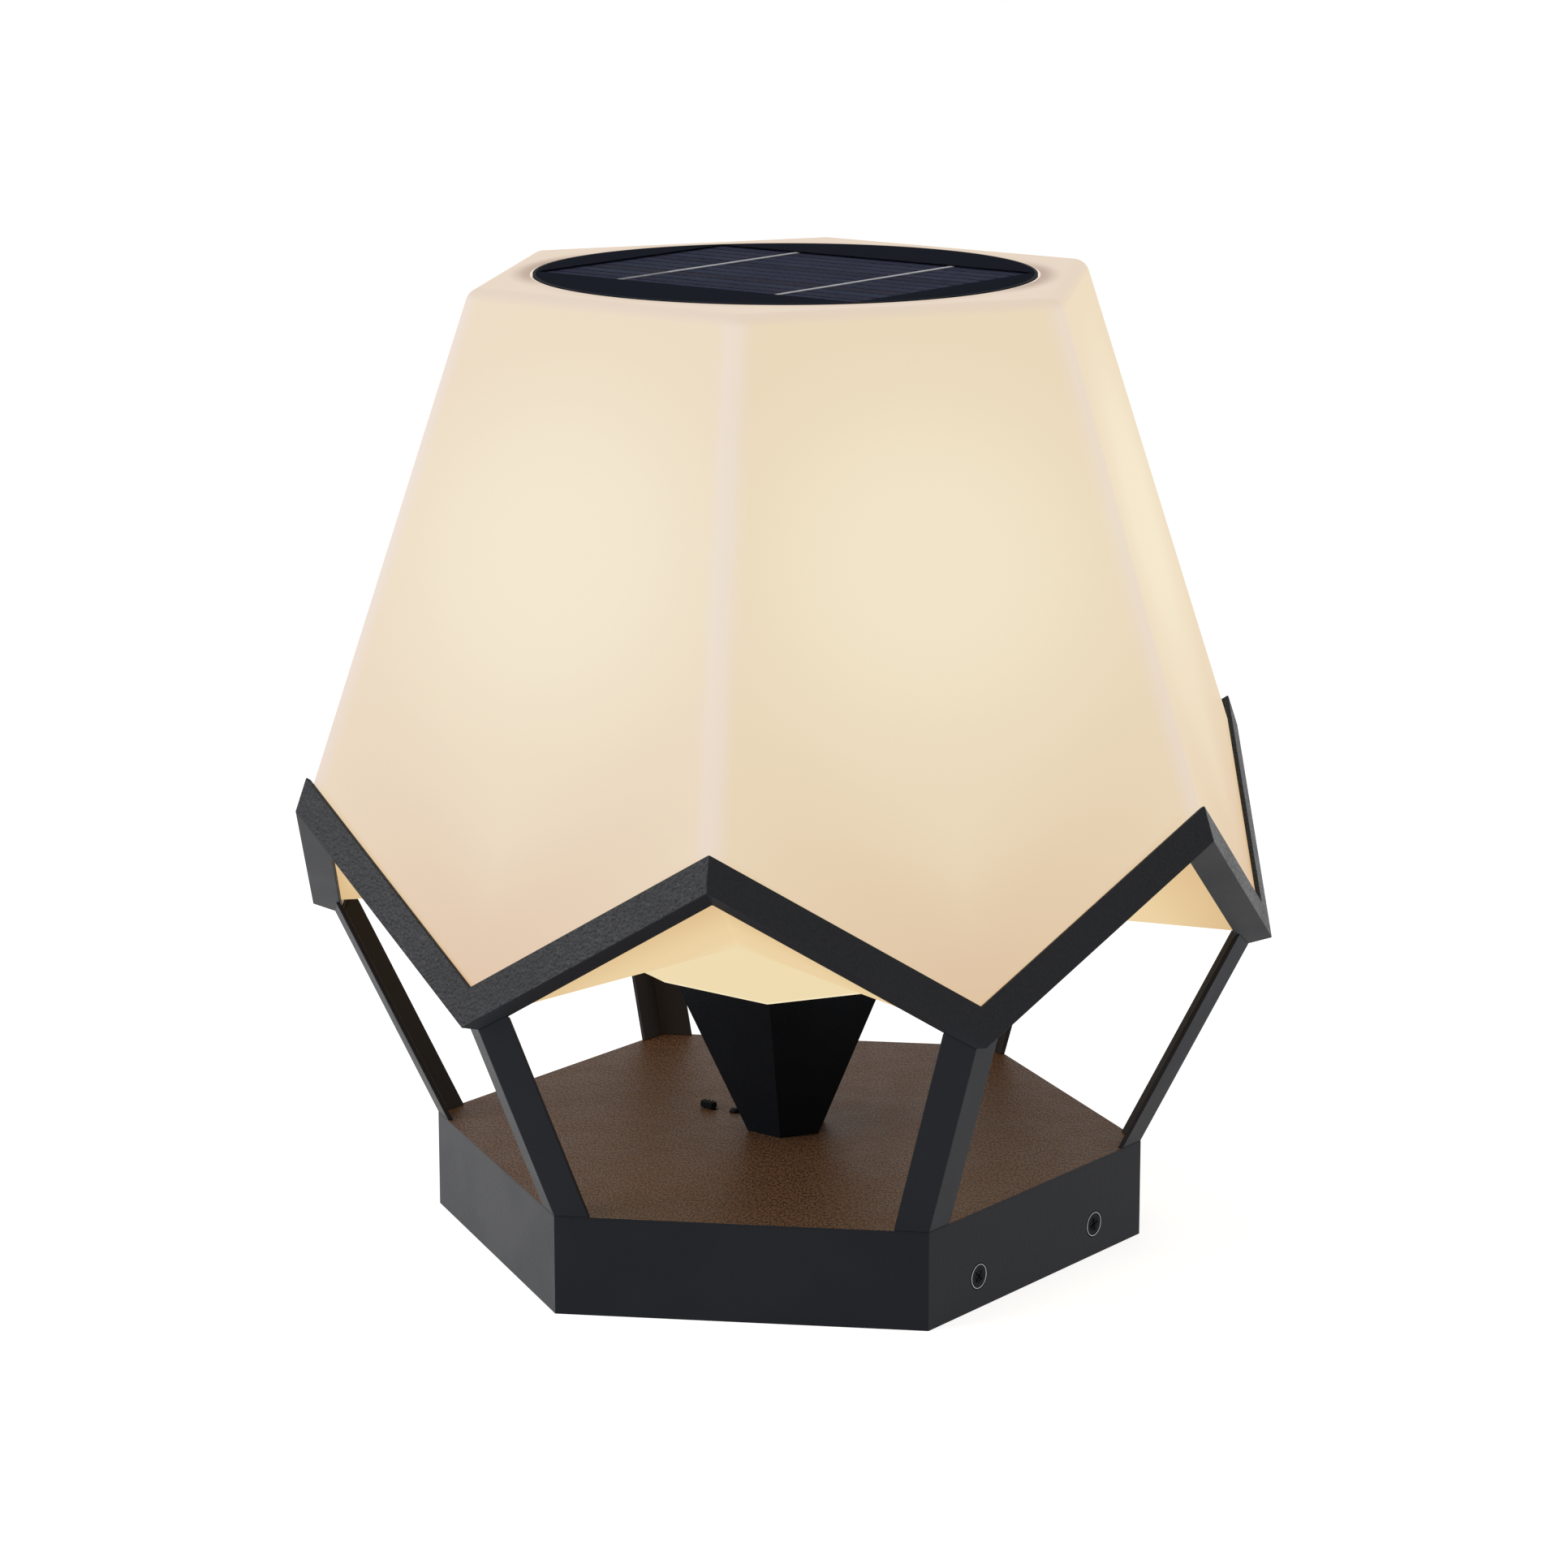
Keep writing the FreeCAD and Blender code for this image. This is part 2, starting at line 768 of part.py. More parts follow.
def electronics_tray():
    tray = tray_outline(0, tray_floor_height, tray_top)
    tray = tray.fuse(tray_outline(tray_flange, tray_top - tray_wall, tray_top))
    tray = tray.cut(tray_outline(-tray_wall, tray_floor_top, tray_top + overrun))
    tray = controls(tray)
    for point in tray_screw_points(tray_top - tray_wall):
        tray = tray.cut(hole(point, up, m3_radius + hole_play, tray_wall + overrun))
    for stud in standoffs():
        tray = tray.fuse(stud)
    return tray.removeSplitter()


def standoff_points(height):
    points = []
    for along in (board_start + standoff_inset, board_end - standoff_inset):
        for side in (-1, 1):
            across = side * (board_half_width - standoff_inset)
            points.append(FreeCAD.Rotation(up, control_azimuth).multVec(Vector(along, across, height)))
    return points


def standoffs():
    height = board_bottom - tray_floor_top
    studs = []
    for point in standoff_points(tray_floor_top):
        stud = Part.makeCylinder(standoff_radius, height, point)
        studs.append(stud.cut(Part.makeCylinder(m3_radius + thread_gap, height, point)))
    return studs


def tray_seal():
    seal = tray_outline(tray_seal_width, tray_top, deck_bottom)
    seal = controls(seal.cut(tray_outline(0, tray_top, deck_bottom)))
    for point in tray_screw_points(tray_top):
        seal = seal.cut(hole(point, up, m3_radius + hole_play, tray_seal_thickness + overrun))
    return seal


def tray_screws():
    length = tray_wall + tray_seal_thickness + deck_thickness - deck_skin
    points = tray_screw_points(tray_top - tray_wall)
    return [placed(m3_screw(length), point, -up) for point in points]


def battery_cells():
    cells = []
    for along in (cell_near_place, cell_far_place):
        start = Vector(along, -cell_length / 2, cell_axis_height)
        cells.append(controls(Part.makeCylinder(cell_radius, cell_length, start, Vector(0, 1, 0))))
    return cells


def battery_cradle():
    half_length = cradle_half_length - cradle_wall
    top = tray_floor_top + cradle_base + 2 * cell_radius * cradle_height_share
    cradle = box(cell_far_place - cell_radius - cradle_base, cell_near_place + cell_radius + cradle_base,
                 -cradle_half_length, cradle_half_length, tray_floor_top, top)
    for along in (cell_near_place, cell_far_place):
        start = Vector(along, -half_length, cell_axis_height)
        trough = Part.makeCylinder(cell_radius + seat, 2 * half_length, start, Vector(0, 1, 0))
        cradle = cradle.cut(trough)
        above = box(along - cell_radius - seat, along + cell_radius + seat, -half_length, half_length,
                    cell_axis_height, top + overrun)
        cradle = cradle.cut(above)
    return controls(cradle)


def battery_contacts():
    plates = []
    for along in (cell_near_place, cell_far_place):
        for side in (-1, 1):
            inner = side * (cell_length / 2 + seat)
            outer = side * (cell_length / 2 + seat + contact_thickness)
            plate = box(along - contact_side / 2, along + contact_side / 2,
                        min(inner, outer), max(inner, outer),
                        cell_axis_height - contact_side / 2, cell_axis_height + contact_side / 2)
            plates.append(controls(plate))
    return plates


def control_board():
    board = box(board_start, board_end, -board_half_width, board_half_width, board_bottom, board_top)
    board = controls(board)
    for point in standoff_points(board_bottom):
        board = board.cut(hole(point, up, m3_radius + hole_play, board_thickness + overrun))
    return board


def board_screws():
    length = board_thickness + board_bottom - tray_floor_top - seat
    return [placed(m3_screw(length), point, up) for point in standoff_points(board_top)]


def wire_connector():
    half_width = connector_width / 2
    body = box(board_start, board_start + connector_length, -half_width, half_width,
               connector_middle - half_width, board_bottom)
    return controls(body)


# Slide switch and push button

def switch_body():
    low = board_top
    high = low + switch_body_height
    half_length = switch_body_length / 2
    half_width = switch_body_width / 2
    middle = switch_place - switch_travel / 2
    body = box(middle - half_length, middle + half_length, -half_width, half_width, low, high)
    pocket_half = (stem_length + switch_travel) / 2 + seat
    pocket = box(middle - pocket_half, middle + pocket_half, -stem_width / 2 - seat, stem_width / 2 + seat,
                 high - switch_pocket_depth, high + overrun)
    return controls(body.cut(pocket))


def switch_knob():
    low = deck_top + seat
    high = low + knob_height - seat
    cap = box(switch_place - knob_length / 2, switch_place + knob_length / 2, -knob_width / 2,
              knob_width / 2, low, high)
    upright = [edge for edge in cap.Edges if edge.BoundBox.ZLength > knob_height / 2]
    cap = cap.makeFillet(knob_round, upright)
    groove_radius = knob_length * knob_groove_share
    for k in range(knob_groove_count):
        along = switch_place + (k - (knob_groove_count - 1) / 2) * knob_length / knob_groove_count
        start = Vector(along, -knob_width, high + groove_radius / 2)
        cap = cap.cut(Part.makeCylinder(groove_radius, 2 * knob_width, start, Vector(0, 1, 0)))
    stem_low = board_top + switch_body_height - switch_pocket_depth + seat
    stem = box(switch_place - stem_length / 2, switch_place + stem_length / 2, -stem_width / 2,
               stem_width / 2, stem_low, low)
    return controls(cap.fuse(stem).removeSplitter())


def button_switch():
    half_side = tactile_side / 2
    body = box(button_place - half_side, button_place + half_side, button_across - half_side,
               button_across + half_side, board_top, board_top + tactile_height)
    return controls(body)


def mode_button():
    place = Vector(button_place, button_across, 0)
    top = deck_top + button_height
    flange_top = deck_bottom - seat
    flange_bottom = flange_top - button_flange_thickness
    plunger_bottom = board_top + tactile_height + seat + button_travel
    flange_low = place + up * flange_bottom
    plunger_low = place + up * plunger_bottom
    stem = Part.makeCylinder(button_radius, top - flange_bottom, flange_low)
    rim = [edge for edge in stem.Edges if edge.BoundBox.ZMin > flange_top]
    stem = stem.makeFillet(button_radius / 2, rim)
    flange = Part.makeCylinder(button_flange_radius, button_flange_thickness, flange_low)
    plunger = Part.makeCylinder(button_plunger_radius, flange_bottom - plunger_bottom, plunger_low)
    return controls(joined([stem, flange, plunger]))


def export(name, shape):
    solids = shape if isinstance(shape, list) else [shape]
    whole = solids[0] if len(solids) == 1 else Part.makeCompound(solids)
    whole.exportStep(os.path.join("parts", name + ".step"))
    print(name, "solids", len(whole.Solids), "volume", round(whole.Volume, 1), "valid", whole.isValid())


single_pieces = (base_skirt, base_deck, deck_screws, mount_plate, skirt_screws, shade_gasket, shade_upper,
                 shade_lower, post_shell, post_tube, post_washer, post_nut, led_plate, led_screws,
                 led_board, led_chips, panel_tray, panel_seal, solar_backsheet, solar_cells,
                 solar_busbars, solar_glass, panel_carrier, carrier_screws, junction_box, panel_lead,
                 electronics_tray, tray_seal, tray_screws, battery_cradle, battery_cells,
                 battery_contacts, control_board, board_screws, wire_connector, switch_body,
                 switch_knob, button_switch, mode_button)

os.makedirs("parts", exist_ok=True)
for piece in single_pieces:
    export(piece.__name__, piece())
for k in range(sides):
    export("leg_%d" % (k + 1), leg(sector * k))
    export("belt_segment_%d" % (k + 1), belt_segment(sector * k))
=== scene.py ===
import math

import bmesh
import bpy
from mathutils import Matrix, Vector


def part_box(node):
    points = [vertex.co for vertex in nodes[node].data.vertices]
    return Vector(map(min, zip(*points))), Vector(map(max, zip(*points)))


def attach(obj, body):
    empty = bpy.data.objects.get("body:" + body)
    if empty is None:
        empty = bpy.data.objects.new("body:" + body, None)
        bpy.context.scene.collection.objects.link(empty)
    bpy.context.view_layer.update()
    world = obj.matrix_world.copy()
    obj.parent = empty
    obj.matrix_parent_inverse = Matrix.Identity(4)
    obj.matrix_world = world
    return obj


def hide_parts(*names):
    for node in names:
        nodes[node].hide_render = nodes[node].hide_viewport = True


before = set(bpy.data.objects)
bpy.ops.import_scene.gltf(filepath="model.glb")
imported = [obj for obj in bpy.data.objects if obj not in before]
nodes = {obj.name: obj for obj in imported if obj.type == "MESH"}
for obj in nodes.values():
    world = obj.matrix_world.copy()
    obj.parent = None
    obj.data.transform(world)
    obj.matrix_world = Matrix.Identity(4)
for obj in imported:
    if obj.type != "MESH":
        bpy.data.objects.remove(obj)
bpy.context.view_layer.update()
scene = bpy.context.scene
degree = math.pi / 180
print("frame loaded with", len(nodes), "nodes")


# Node trees: Amount is one number of a tree, so that shader and geometry maths read as sums

class Amount:
    def __init__(self, tree, socket):
        self.tree = tree
        self.socket = socket

    def other(self, name):
        return Amount(self.tree, self.socket.node.outputs[name])

    def __add__(self, value):
        return self.tree.maths("ADD", self, value)

    def __radd__(self, value):
        return self.tree.maths("ADD", value, self)

    def __sub__(self, value):
        return self.tree.maths("SUBTRACT", self, value)

    def __rsub__(self, value):
        return self.tree.maths("SUBTRACT", value, self)

    def __mul__(self, value):
        return self.tree.maths("MULTIPLY", self, value)

    def __rmul__(self, value):
        return self.tree.maths("MULTIPLY", value, self)

    def __truediv__(self, value):
        return self.tree.maths("DIVIDE", self, value)

    def __rtruediv__(self, value):
        return self.tree.maths("DIVIDE", value, self)


class Tree:
    def __init__(self, group):
        self.group = group

    # Settings come first, then the values or links of the sockets
    def node(self, kind, settings=None, values=None, out=0):
        made = self.group.nodes.new(kind)
        for name, setting in (settings or {}).items():
            setattr(made, name, setting)
        for name, value in (values or {}).items():
            if isinstance(value, Amount):
                self.group.links.new(value.socket, made.inputs[name])
            else:
                made.inputs[name].default_value = value
        return Amount(self, made.outputs[out]) if made.outputs else made

    def maths(self, operation, first, second=0.0):
        return self.node("ShaderNodeMath", {"operation": operation}, {0: first, 1: second})

    # 1 where a ray comes from the camera, a mirror image or through glass, 0 where it lights the object
    def seen(self):
        rays = self.node("ShaderNodeLightPath", out="Is Camera Ray")
        return self.maths("MAXIMUM", self.maths("MAXIMUM", rays, rays.other("Is Glossy Ray")),
                          rays.other("Is Transmission Ray"))

    # 0 below the low value, 1 above the high one, eased between them
    def eased(self, value, low, high):
        return self.node("ShaderNodeMapRange", {"interpolation_type": "SMOOTHSTEP"},
                         {"Value": value, "From Min": low, "From Max": high})


class Finish(Tree):
    def __init__(self, name):
        self.material = bpy.data.materials.new(name)
        self.material.use_nodes = True
        super().__init__(self.material.node_tree)
        self.group.nodes.clear()
        self.place = self.node("ShaderNodeTexCoord", out="Object")

    def noise(self, scale, detail=2.0, stretch=None):
        place = self.place
        if stretch:
            place = self.node("ShaderNodeMapping", None, {"Vector": place, "Scale": stretch})
        return self.node("ShaderNodeTexNoise", None, {"Vector": place, "Scale": scale, "Detail": detail})

    def cells(self, scale):
        return self.node("ShaderNodeTexVoronoi", {"feature": "SMOOTH_F1"},
                         {"Vector": self.place, "Scale": scale})

    # Sockets 6 and 7 are the two colours of a Mix node set to colour, and output 2 is their mix
    def tones(self, share, first, second, blend="MIX"):
        return self.node("ShaderNodeMix", {"data_type": "RGBA", "blend_type": blend},
                         {0: share, 6: first, 7: second}, out=2)

    def parts(self):
        spot = self.node("ShaderNodeSeparateXYZ", None, {0: self.place})
        return spot, spot.other("Y"), spot.other("Z")

    # A noise of mean one half becomes a swing about zero
    def sway(self, noise, span):
        return span * (noise - 0.5)

    def bump(self, height, strength, depth):
        return self.node("ShaderNodeBump", None, {"Height": height, "Strength": strength, "Distance": depth})

    def surface(self, values):
        self.node("ShaderNodeOutputMaterial", None, {0: self.node("ShaderNodeBsdfPrincipled", None, values)})
        return self.material


class Growth(Tree):
    def __init__(self, name, sizes):
        super().__init__(bpy.data.node_groups.new(name, "GeometryNodeTree"))
        self.sizes = sizes
        self.sockets = {}
        self.group.interface.new_socket("Geometry", in_out="OUTPUT", socket_type="NodeSocketGeometry")
        for label, value in sizes.items():
            kind = {int: "NodeSocketInt", float: "NodeSocketFloat"}.get(type(value), "NodeSocketMaterial")
            self.sockets[label] = self.group.interface.new_socket(label, in_out="INPUT", socket_type=kind)
        self.given = self.node("NodeGroupInput")

    def size(self, label):
        return self.given.other(label)

    def axes(self, x, y, z):
        return self.node("ShaderNodeCombineXYZ", None, {0: x, 1: y, 2: z})

    # Ends the tree, runs it and keeps the result as a plain mesh
    def grown(self, pieceName, geometry):
        solid = self.node("GeometryNodeRealizeInstances", None, {0: geometry})
        painted = self.node("GeometryNodeSetMaterial", None, {0: solid, "Material": self.size("Material")})
        self.node("NodeGroupOutput", None, {0: painted})
        piece = newPiece(pieceName, bpy.data.meshes.new(pieceName))
        modifier = piece.modifiers.new(pieceName, "NODES")
        modifier.node_group = self.group
        for label, value in self.sizes.items():
            modifier[self.sockets[label].identifier] = value
        return madePlain(piece)


# Piece helpers

def newPiece(name, mesh):
    piece = bpy.data.objects.new(name, mesh)
    scene.collection.objects.link(piece)
    return piece


def madePlain(piece):
    bpy.context.view_layer.update()
    graph = bpy.context.evaluated_depsgraph_get()
    mesh = bpy.data.meshes.new_from_object(piece.evaluated_get(graph))
    piece.modifiers.clear()
    piece.data = mesh
    return piece


# A rounded copy of CAD nodes: welded, flat areas made one face, edges eased, shading kept flat on flats
def softened(pieceName, nodeNames, easing, body="root", seamAzimuths=()):
    mesh = bmesh.new()
    for nodeName in nodeNames:
        mesh.from_mesh(nodes[nodeName].data)
    bmesh.ops.remove_doubles(mesh, verts=mesh.verts, dist=easing["weld"])
    for azimuth in seamAzimuths:
        across = Vector((-math.sin(math.radians(azimuth)), math.cos(math.radians(azimuth)), 0))
        seam = [face for face in mesh.faces
                if all(abs(vertex.co.dot(across)) < easing["weld"] for vertex in face.verts)]
        bmesh.ops.delete(mesh, geom=seam, context="FACES_ONLY")
    bmesh.ops.dissolve_limit(mesh, angle_limit=math.radians(easing["flatAngle"]), verts=mesh.verts,
                             edges=mesh.edges)
    for face in mesh.faces:
        face.smooth = True
    piece = newPiece(pieceName, bpy.data.meshes.new(pieceName))
    mesh.to_mesh(piece.data)
    mesh.free()
    edge = piece.modifiers.new("edges", "BEVEL")
    edge.limit_method = "ANGLE"
    edge.angle_limit = math.radians(easing["edgeAngle"])
    edge.width = easing["radius"]
    edge.segments = easing["segments"]
    piece.modifiers.new("flats", "WEIGHTED_NORMAL")
    madePlain(piece)
    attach(piece, body)
    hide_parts(*nodeNames)
    return piece


def dressed(piece, finish):
    piece.data.materials.clear()
    piece.data.materials.append(finish)
    return piece


# A second finish on the faces whose direction the test picks
def twoToned(piece, second, picked):
    piece.data.materials.append(second)
    for face in piece.data.polygons:
        face.material_index = int(picked(face.normal))


# Camera, fitted to the corners of the base and belt and to the panel's edge

cameraSetup = {
    "place": (0.1882, -1.3441, 0.4592),
    "turn": (77.6017, 0.0, 7.7584),
    "lens": 104.92,
    "sensor": 36.0,
    "shift": (-0.0116, -0.0447),
}
cameraData = bpy.data.cameras.new("camera")
cameraData.lens = cameraSetup["lens"]
cameraData.sensor_width = cameraSetup["sensor"]
cameraData.shift_x, cameraData.shift_y = cameraSetup["shift"]
camera = bpy.data.objects.new("camera", cameraData)
camera.location = cameraSetup["place"]
camera.rotation_euler = [math.radians(angle) for angle in cameraSetup["turn"]]
scene.collection.objects.link(camera)
scene.camera = camera
scene.view_settings.view_transform = "Standard"
print("camera placed")


# Studio: a white room that lights less than it shows, and one large soft lamp from the left

studio = {
    "white": (1, 1, 1, 1),
    "roomLight": 0.5,
    "keyPlace": (-1.55, -0.75, 0.75),
    "keyAim": (0.0, 0.0, 0.15),
    "keySize": 1.1,
    "keyPower": 20.5,
    "floorSize": 6.0,
    "floorCuts": 8,
    "floorTone": (0.5, 0.5, 0.5, 1),
    "floorLift": 0.8,
}

room = bpy.data.worlds.new("room")
room.use_nodes = True
scene.world = room
roomTree = Tree(room.node_tree)
room.node_tree.nodes.clear()
shown = studio["roomLight"] + roomTree.seen() * (1 - studio["roomLight"])
roomTree.node("ShaderNodeOutputWorld", None, {0: roomTree.node("ShaderNodeBackground", None, {
    "Color": studio["white"], "Strength": shown})})

keyData = bpy.data.lights.new("keyLamp", "AREA")
keyData.size = studio["keySize"]
keyData.energy = studio["keyPower"]
keyLamp = bpy.data.objects.new("keyLamp", keyData)
keyLamp.location = studio["keyPlace"]
keyReach = Vector(studio["keyAim"]) - Vector(studio["keyPlace"])
keyLamp.rotation_euler = keyReach.to_track_quat("-Z", "Y").to_euler()
scene.collection.objects.link(keyLamp)

floorMesh = bmesh.new()
bmesh.ops.create_grid(floorMesh, x_segments=studio["floorCuts"], y_segments=studio["floorCuts"],
                      size=studio["floorSize"])
floor = newPiece("floor", bpy.data.meshes.new("floor"))
floorMesh.to_mesh(floor.data)
floorMesh.free()
floorFinish = Finish("paleFloor")
floorShaders = floorFinish.node("ShaderNodeAddShader", None, {
    0: floorFinish.node("ShaderNodeBsdfDiffuse", None, {"Color": studio["floorTone"]}),
    1: floorFinish.node("ShaderNodeEmission", None, {
        "Color": studio["white"], "Strength": floorFinish.seen() * studio["floorLift"]})})
floorFinish.node("ShaderNodeOutputMaterial", None, {0: floorShaders})
floor.data.materials.append(floorFinish.material)
print("studio lit")


# Finishes

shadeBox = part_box("shade_upper")
shadeForm = {"sides": 6, "faceFall": 0.303725}  # how far a face leans in for each unit of height
halfSide = math.pi / shadeForm["sides"]
shadeLow = shadeBox[0][2]
shadeRise = (shadeBox[1][0] - shadeBox[1][1] * math.cos(halfSide)) / shadeForm["faceFall"]
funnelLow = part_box("shade_lower")[0][2]


# Powder coat: fine cells and wrinkles in the surface, lighter specks, and soft clouds of tone
def coatFinish(name, look):
    paint = Finish(name)
    grain = paint.cells(look["grainScale"])
    wrinkle = paint.noise(look["wrinkleScale"], look["wrinkleDetail"], look["stretch"])
    height = grain * look["cellShare"] + wrinkle * (1 - look["cellShare"])
    speck = paint.eased(wrinkle, *look["speckReach"]) * look["speckle"]
    patch = paint.eased(paint.noise(look["cloudScale"]), *look["cloudReach"])
    tone = paint.tones(patch, look["tone"], look["toneHigh"])
    sway = paint.sway(wrinkle, look["roughnessSway"]) + paint.sway(patch, look["cloudSway"])
    return paint.surface({
        "Base Color": paint.tones(speck, tone, look["speckTone"]),
        "Roughness": look["roughness"] + sway,
        "Specular IOR Level": look["gloss"],
        "Normal": paint.bump(height, look["grainStrength"], look["grainDepth"]),
    })


coatLook = {
    "tone": (0.0121, 0.0142, 0.0196, 1),
    "toneHigh": (0.0143, 0.0166, 0.0222, 1),
    "speckTone": (0.02, 0.022, 0.028, 1),
    "speckle": 0.2,
    "speckReach": (0.52, 0.72),
    "roughness": 0.455,
    "roughnessSway": 0.1,
    "gloss": 0.115,
    "grainScale": 1050.0,
    "cellShare": 0.6,
    "wrinkleScale": 1785.0,
    "wrinkleDetail": 3.0,
    "stretch": (1.0, 1.0, 1.0),
    "cloudScale": 35.0,
    "cloudReach": (0.35, 0.65),
    "cloudSway": 0.05,
    "grainStrength": 0.2,
    "grainDepth": 0.0002,
}
coat = coatFinish("anthraciteCoat", coatLook)

# The skirt is a little glossier than the legs
skirtLook = {**coatLook, "roughness": 0.385, "gloss": 0.113}
skirtCoat = coatFinish("skirtCoat", skirtLook)

# The belt has the coarsest grain, which shows most where the lamp's light glances over it
beltLook = {
    **coatLook,
    "tone": (0.0099, 0.0106, 0.0134, 1),
    "toneHigh": (0.0117, 0.0124, 0.0154, 1),
    "speckTone": (0.0295, 0.030, 0.032, 1),
    "speckle": 0.35,
    "speckReach": (0.40, 0.64),
    "roughness": 0.46,
    "roughnessSway": 0.55,
    "gloss": 0.195,
    "wrinkleScale": 1050.0,
    "grainStrength": 1.0,
    "grainDepth": 0.0005,
}
beltCoat = coatFinish("grainedCoat", beltLook)

# The post is the darkest: a darker, bluer, glossier copy of the anthracite coat, painted shade for the post
# under the lamp
postShadedLook = {
    **coatLook,
    "tone": (0.0050, 0.0072, 0.0104, 1),
    "toneHigh": (0.0060, 0.0084, 0.0120, 1),
    "speckTone": (0.012, 0.0140, 0.0180, 1),
    "speckle": 0.15,
    "roughness": 0.38,
    "gloss": 0.17,
    "grainStrength": 0.3,
}
postCoat = coatFinish("postCoat", postShadedLook)

# The legs' inner faces are warmer: painted warm light from the lamp's glow and painted shade inside the legs
legGlowLook = {
    **coatLook,
    "tone": (0.0126, 0.0094, 0.0094, 1),
    "toneHigh": (0.0144, 0.0108, 0.0106, 1),
    "gloss": 0.1,
}
insideCoat = coatFinish("insideCoat", legGlowLook)

# The deck's brown is painted warm light from the lamp's glow on the anthracite coat; its grain, drawn out
# across it, is the coat's own
deckGlowLook = {
    **coatLook,
    "tone": (0.0306, 0.0158, 0.0085, 1),
    "toneHigh": (0.0360, 0.0185, 0.0100, 1),
    "speckTone": (0.131, 0.0713, 0.0435, 1),
    "speckle": 0.9,
    "speckReach": (0.38, 0.62),
    "roughness": 0.5,
    "gloss": 0.1,
    "grainScale": 950.0,
    "wrinkleScale": 1600.0,
    "stretch": (1.0, 0.45, 1.0),
    "cloudScale": 110.0,
    "grainStrength": 0.4,
    "grainDepth": 0.0003,
}
deckGlowCoat = coatFinish("brownCoat", deckGlowLook)

# What both shades' plastic has in common
opalSkin = {
    "roughness": 0.45,
    "cloudSway": 0.06,
    "grainScale": 420.0,
    "grainStrength": 0.08,
    "grainDepth": 0.0002,
}

# Glow of the upper shade: an ellipse on each face, warmer towards the belt, with a painted highlight along
# the ridges
opalLook = {
    **opalSkin,
    "base": (0.045, 0.058, 0.116, 1),
    "gloss": 0.004,
    "cloudScale": 9.0,
    "glow": 1.0,
    "centreTone": (0.860, 0.746, 0.518, 1),
    "faceTone": (0.806, 0.666, 0.446, 1),
    "plateTone": (0.75, 0.615, 0.455, 1),
    "plateReach": (0.2915, 0.2945),
    "centreHeight": 0.226,
    "centreSpread": (0.067, 0.058),
    "centreReach": (0.25, 1.15),
    "beltShade": (0.895, 0.79, 0.725, 1),
    "beltReach": (0.009, 0.062),
    "beltFade": 0.85,
    "beltEdgeShadeTone": (0.95, 0.84, 0.70, 1),
    "beltEdgeShadeReach": (0.0083, 0.0093),
    "ridgeHighlightTone": (1.0, 1.02, 1.18, 1),
    "ridgeHighlightReach": (0.001, 0.007),
    "panelShadowTone": (0.48, 0.35, 0.24, 1),
    "panelShadowReach": (0.0762, 0.083),
    "edgeHighlightTone": (0.86, 0.76, 0.61, 1),
    "edgeHighlightReach": (0.0757, 0.0761),
    "panelShadowSpan": (0.84, 0.995),
    "panelShadowRest": 0.12,
}


def opalSurface(opal, look, tone):
    return opal.surface({
        "Base Color": look["base"],
        "Roughness": look["roughness"] + opal.sway(opal.noise(look["cloudScale"]), look["cloudSway"]),
        "Specular IOR Level": look["gloss"],
        "Emission Color": tone,
        "Emission Strength": look["glow"],
        "Normal": opal.bump(opal.noise(look["grainScale"]), look["grainStrength"], look["grainDepth"]),
    })


def opalFinish(name, look):
    opal = Finish(name)
    x, y, z = opal.parts()
    radius = opal.maths("SQRT", x * x + y * y)
    azimuth = opal.maths("PINGPONG", opal.maths("ARCTAN2", y, x), halfSide)
    outwards = radius * opal.maths("COSINE", azimuth)
    sideways = radius * opal.maths("SINE", azimuth)
    share = sideways / (outwards * math.tan(halfSide))
    toRidge = outwards * math.tan(halfSide) - sideways
    spreadSide, spreadHeight = look["centreSpread"]
    overSide = sideways / spreadSide
    overHeight = (z - look["centreHeight"]) / spreadHeight
    farness = opal.maths("SQRT", overSide * overSide + overHeight * overHeight)
    tone = opal.tones(1 - opal.eased(farness, *look["centreReach"]), look["faceTone"], look["centreTone"])
    onPlate = opal.eased(z, *look["plateReach"])
    tone = opal.tones(onPlate, tone, look["plateTone"])
    aboveBelt = z - shadeLow - share * shadeRise
    nearBelt = (1 - opal.eased(aboveBelt, *look["beltReach"])) * (1 - share * look["beltFade"])
    tone = opal.tones(nearBelt, tone, look["beltShade"], "MULTIPLY")
    # Painted shade: a narrow darker, more orange line just above the belt's edge
    beltEdgeShade = (1 - opal.eased(aboveBelt, *look["beltEdgeShadeReach"])) * (1 - share)
    tone = opal.tones(beltEdgeShade, tone, look["beltEdgeShadeTone"], "MULTIPLY")
    # Painted highlight: a paler, pinker band along the rounded ridges
    ridgeHighlight = (1 - opal.eased(toRidge, *look["ridgeHighlightReach"])) * (1 - onPlate)
    tone = opal.tones(ridgeHighlight, tone, look["ridgeHighlightTone"], "MULTIPLY")
    # Painted shadow of the panel on the top plate round its opening, strongest towards the ends along x
    atEnds = opal.eased(opal.maths("ABSOLUTE", x) / radius, *look["panelShadowSpan"])
    panelShadowShare = atEnds * (1 - look["panelShadowRest"]) + look["panelShadowRest"]
    panelShadow = (1 - opal.eased(radius, *look["panelShadowReach"])) * panelShadowShare
    tone = opal.tones(panelShadow, tone, look["panelShadowTone"])
    # Painted highlight: a thin pale line on the opening's edge, at the ends along x
    edgeHighlight = (1 - opal.eased(radius, *look["edgeHighlightReach"])) * atEnds
    tone = opal.tones(edgeHighlight, tone, look["edgeHighlightTone"])
    return opalSurface(opal, look, tone)


opalUpper = opalFinish("opalUpper", opalLook)

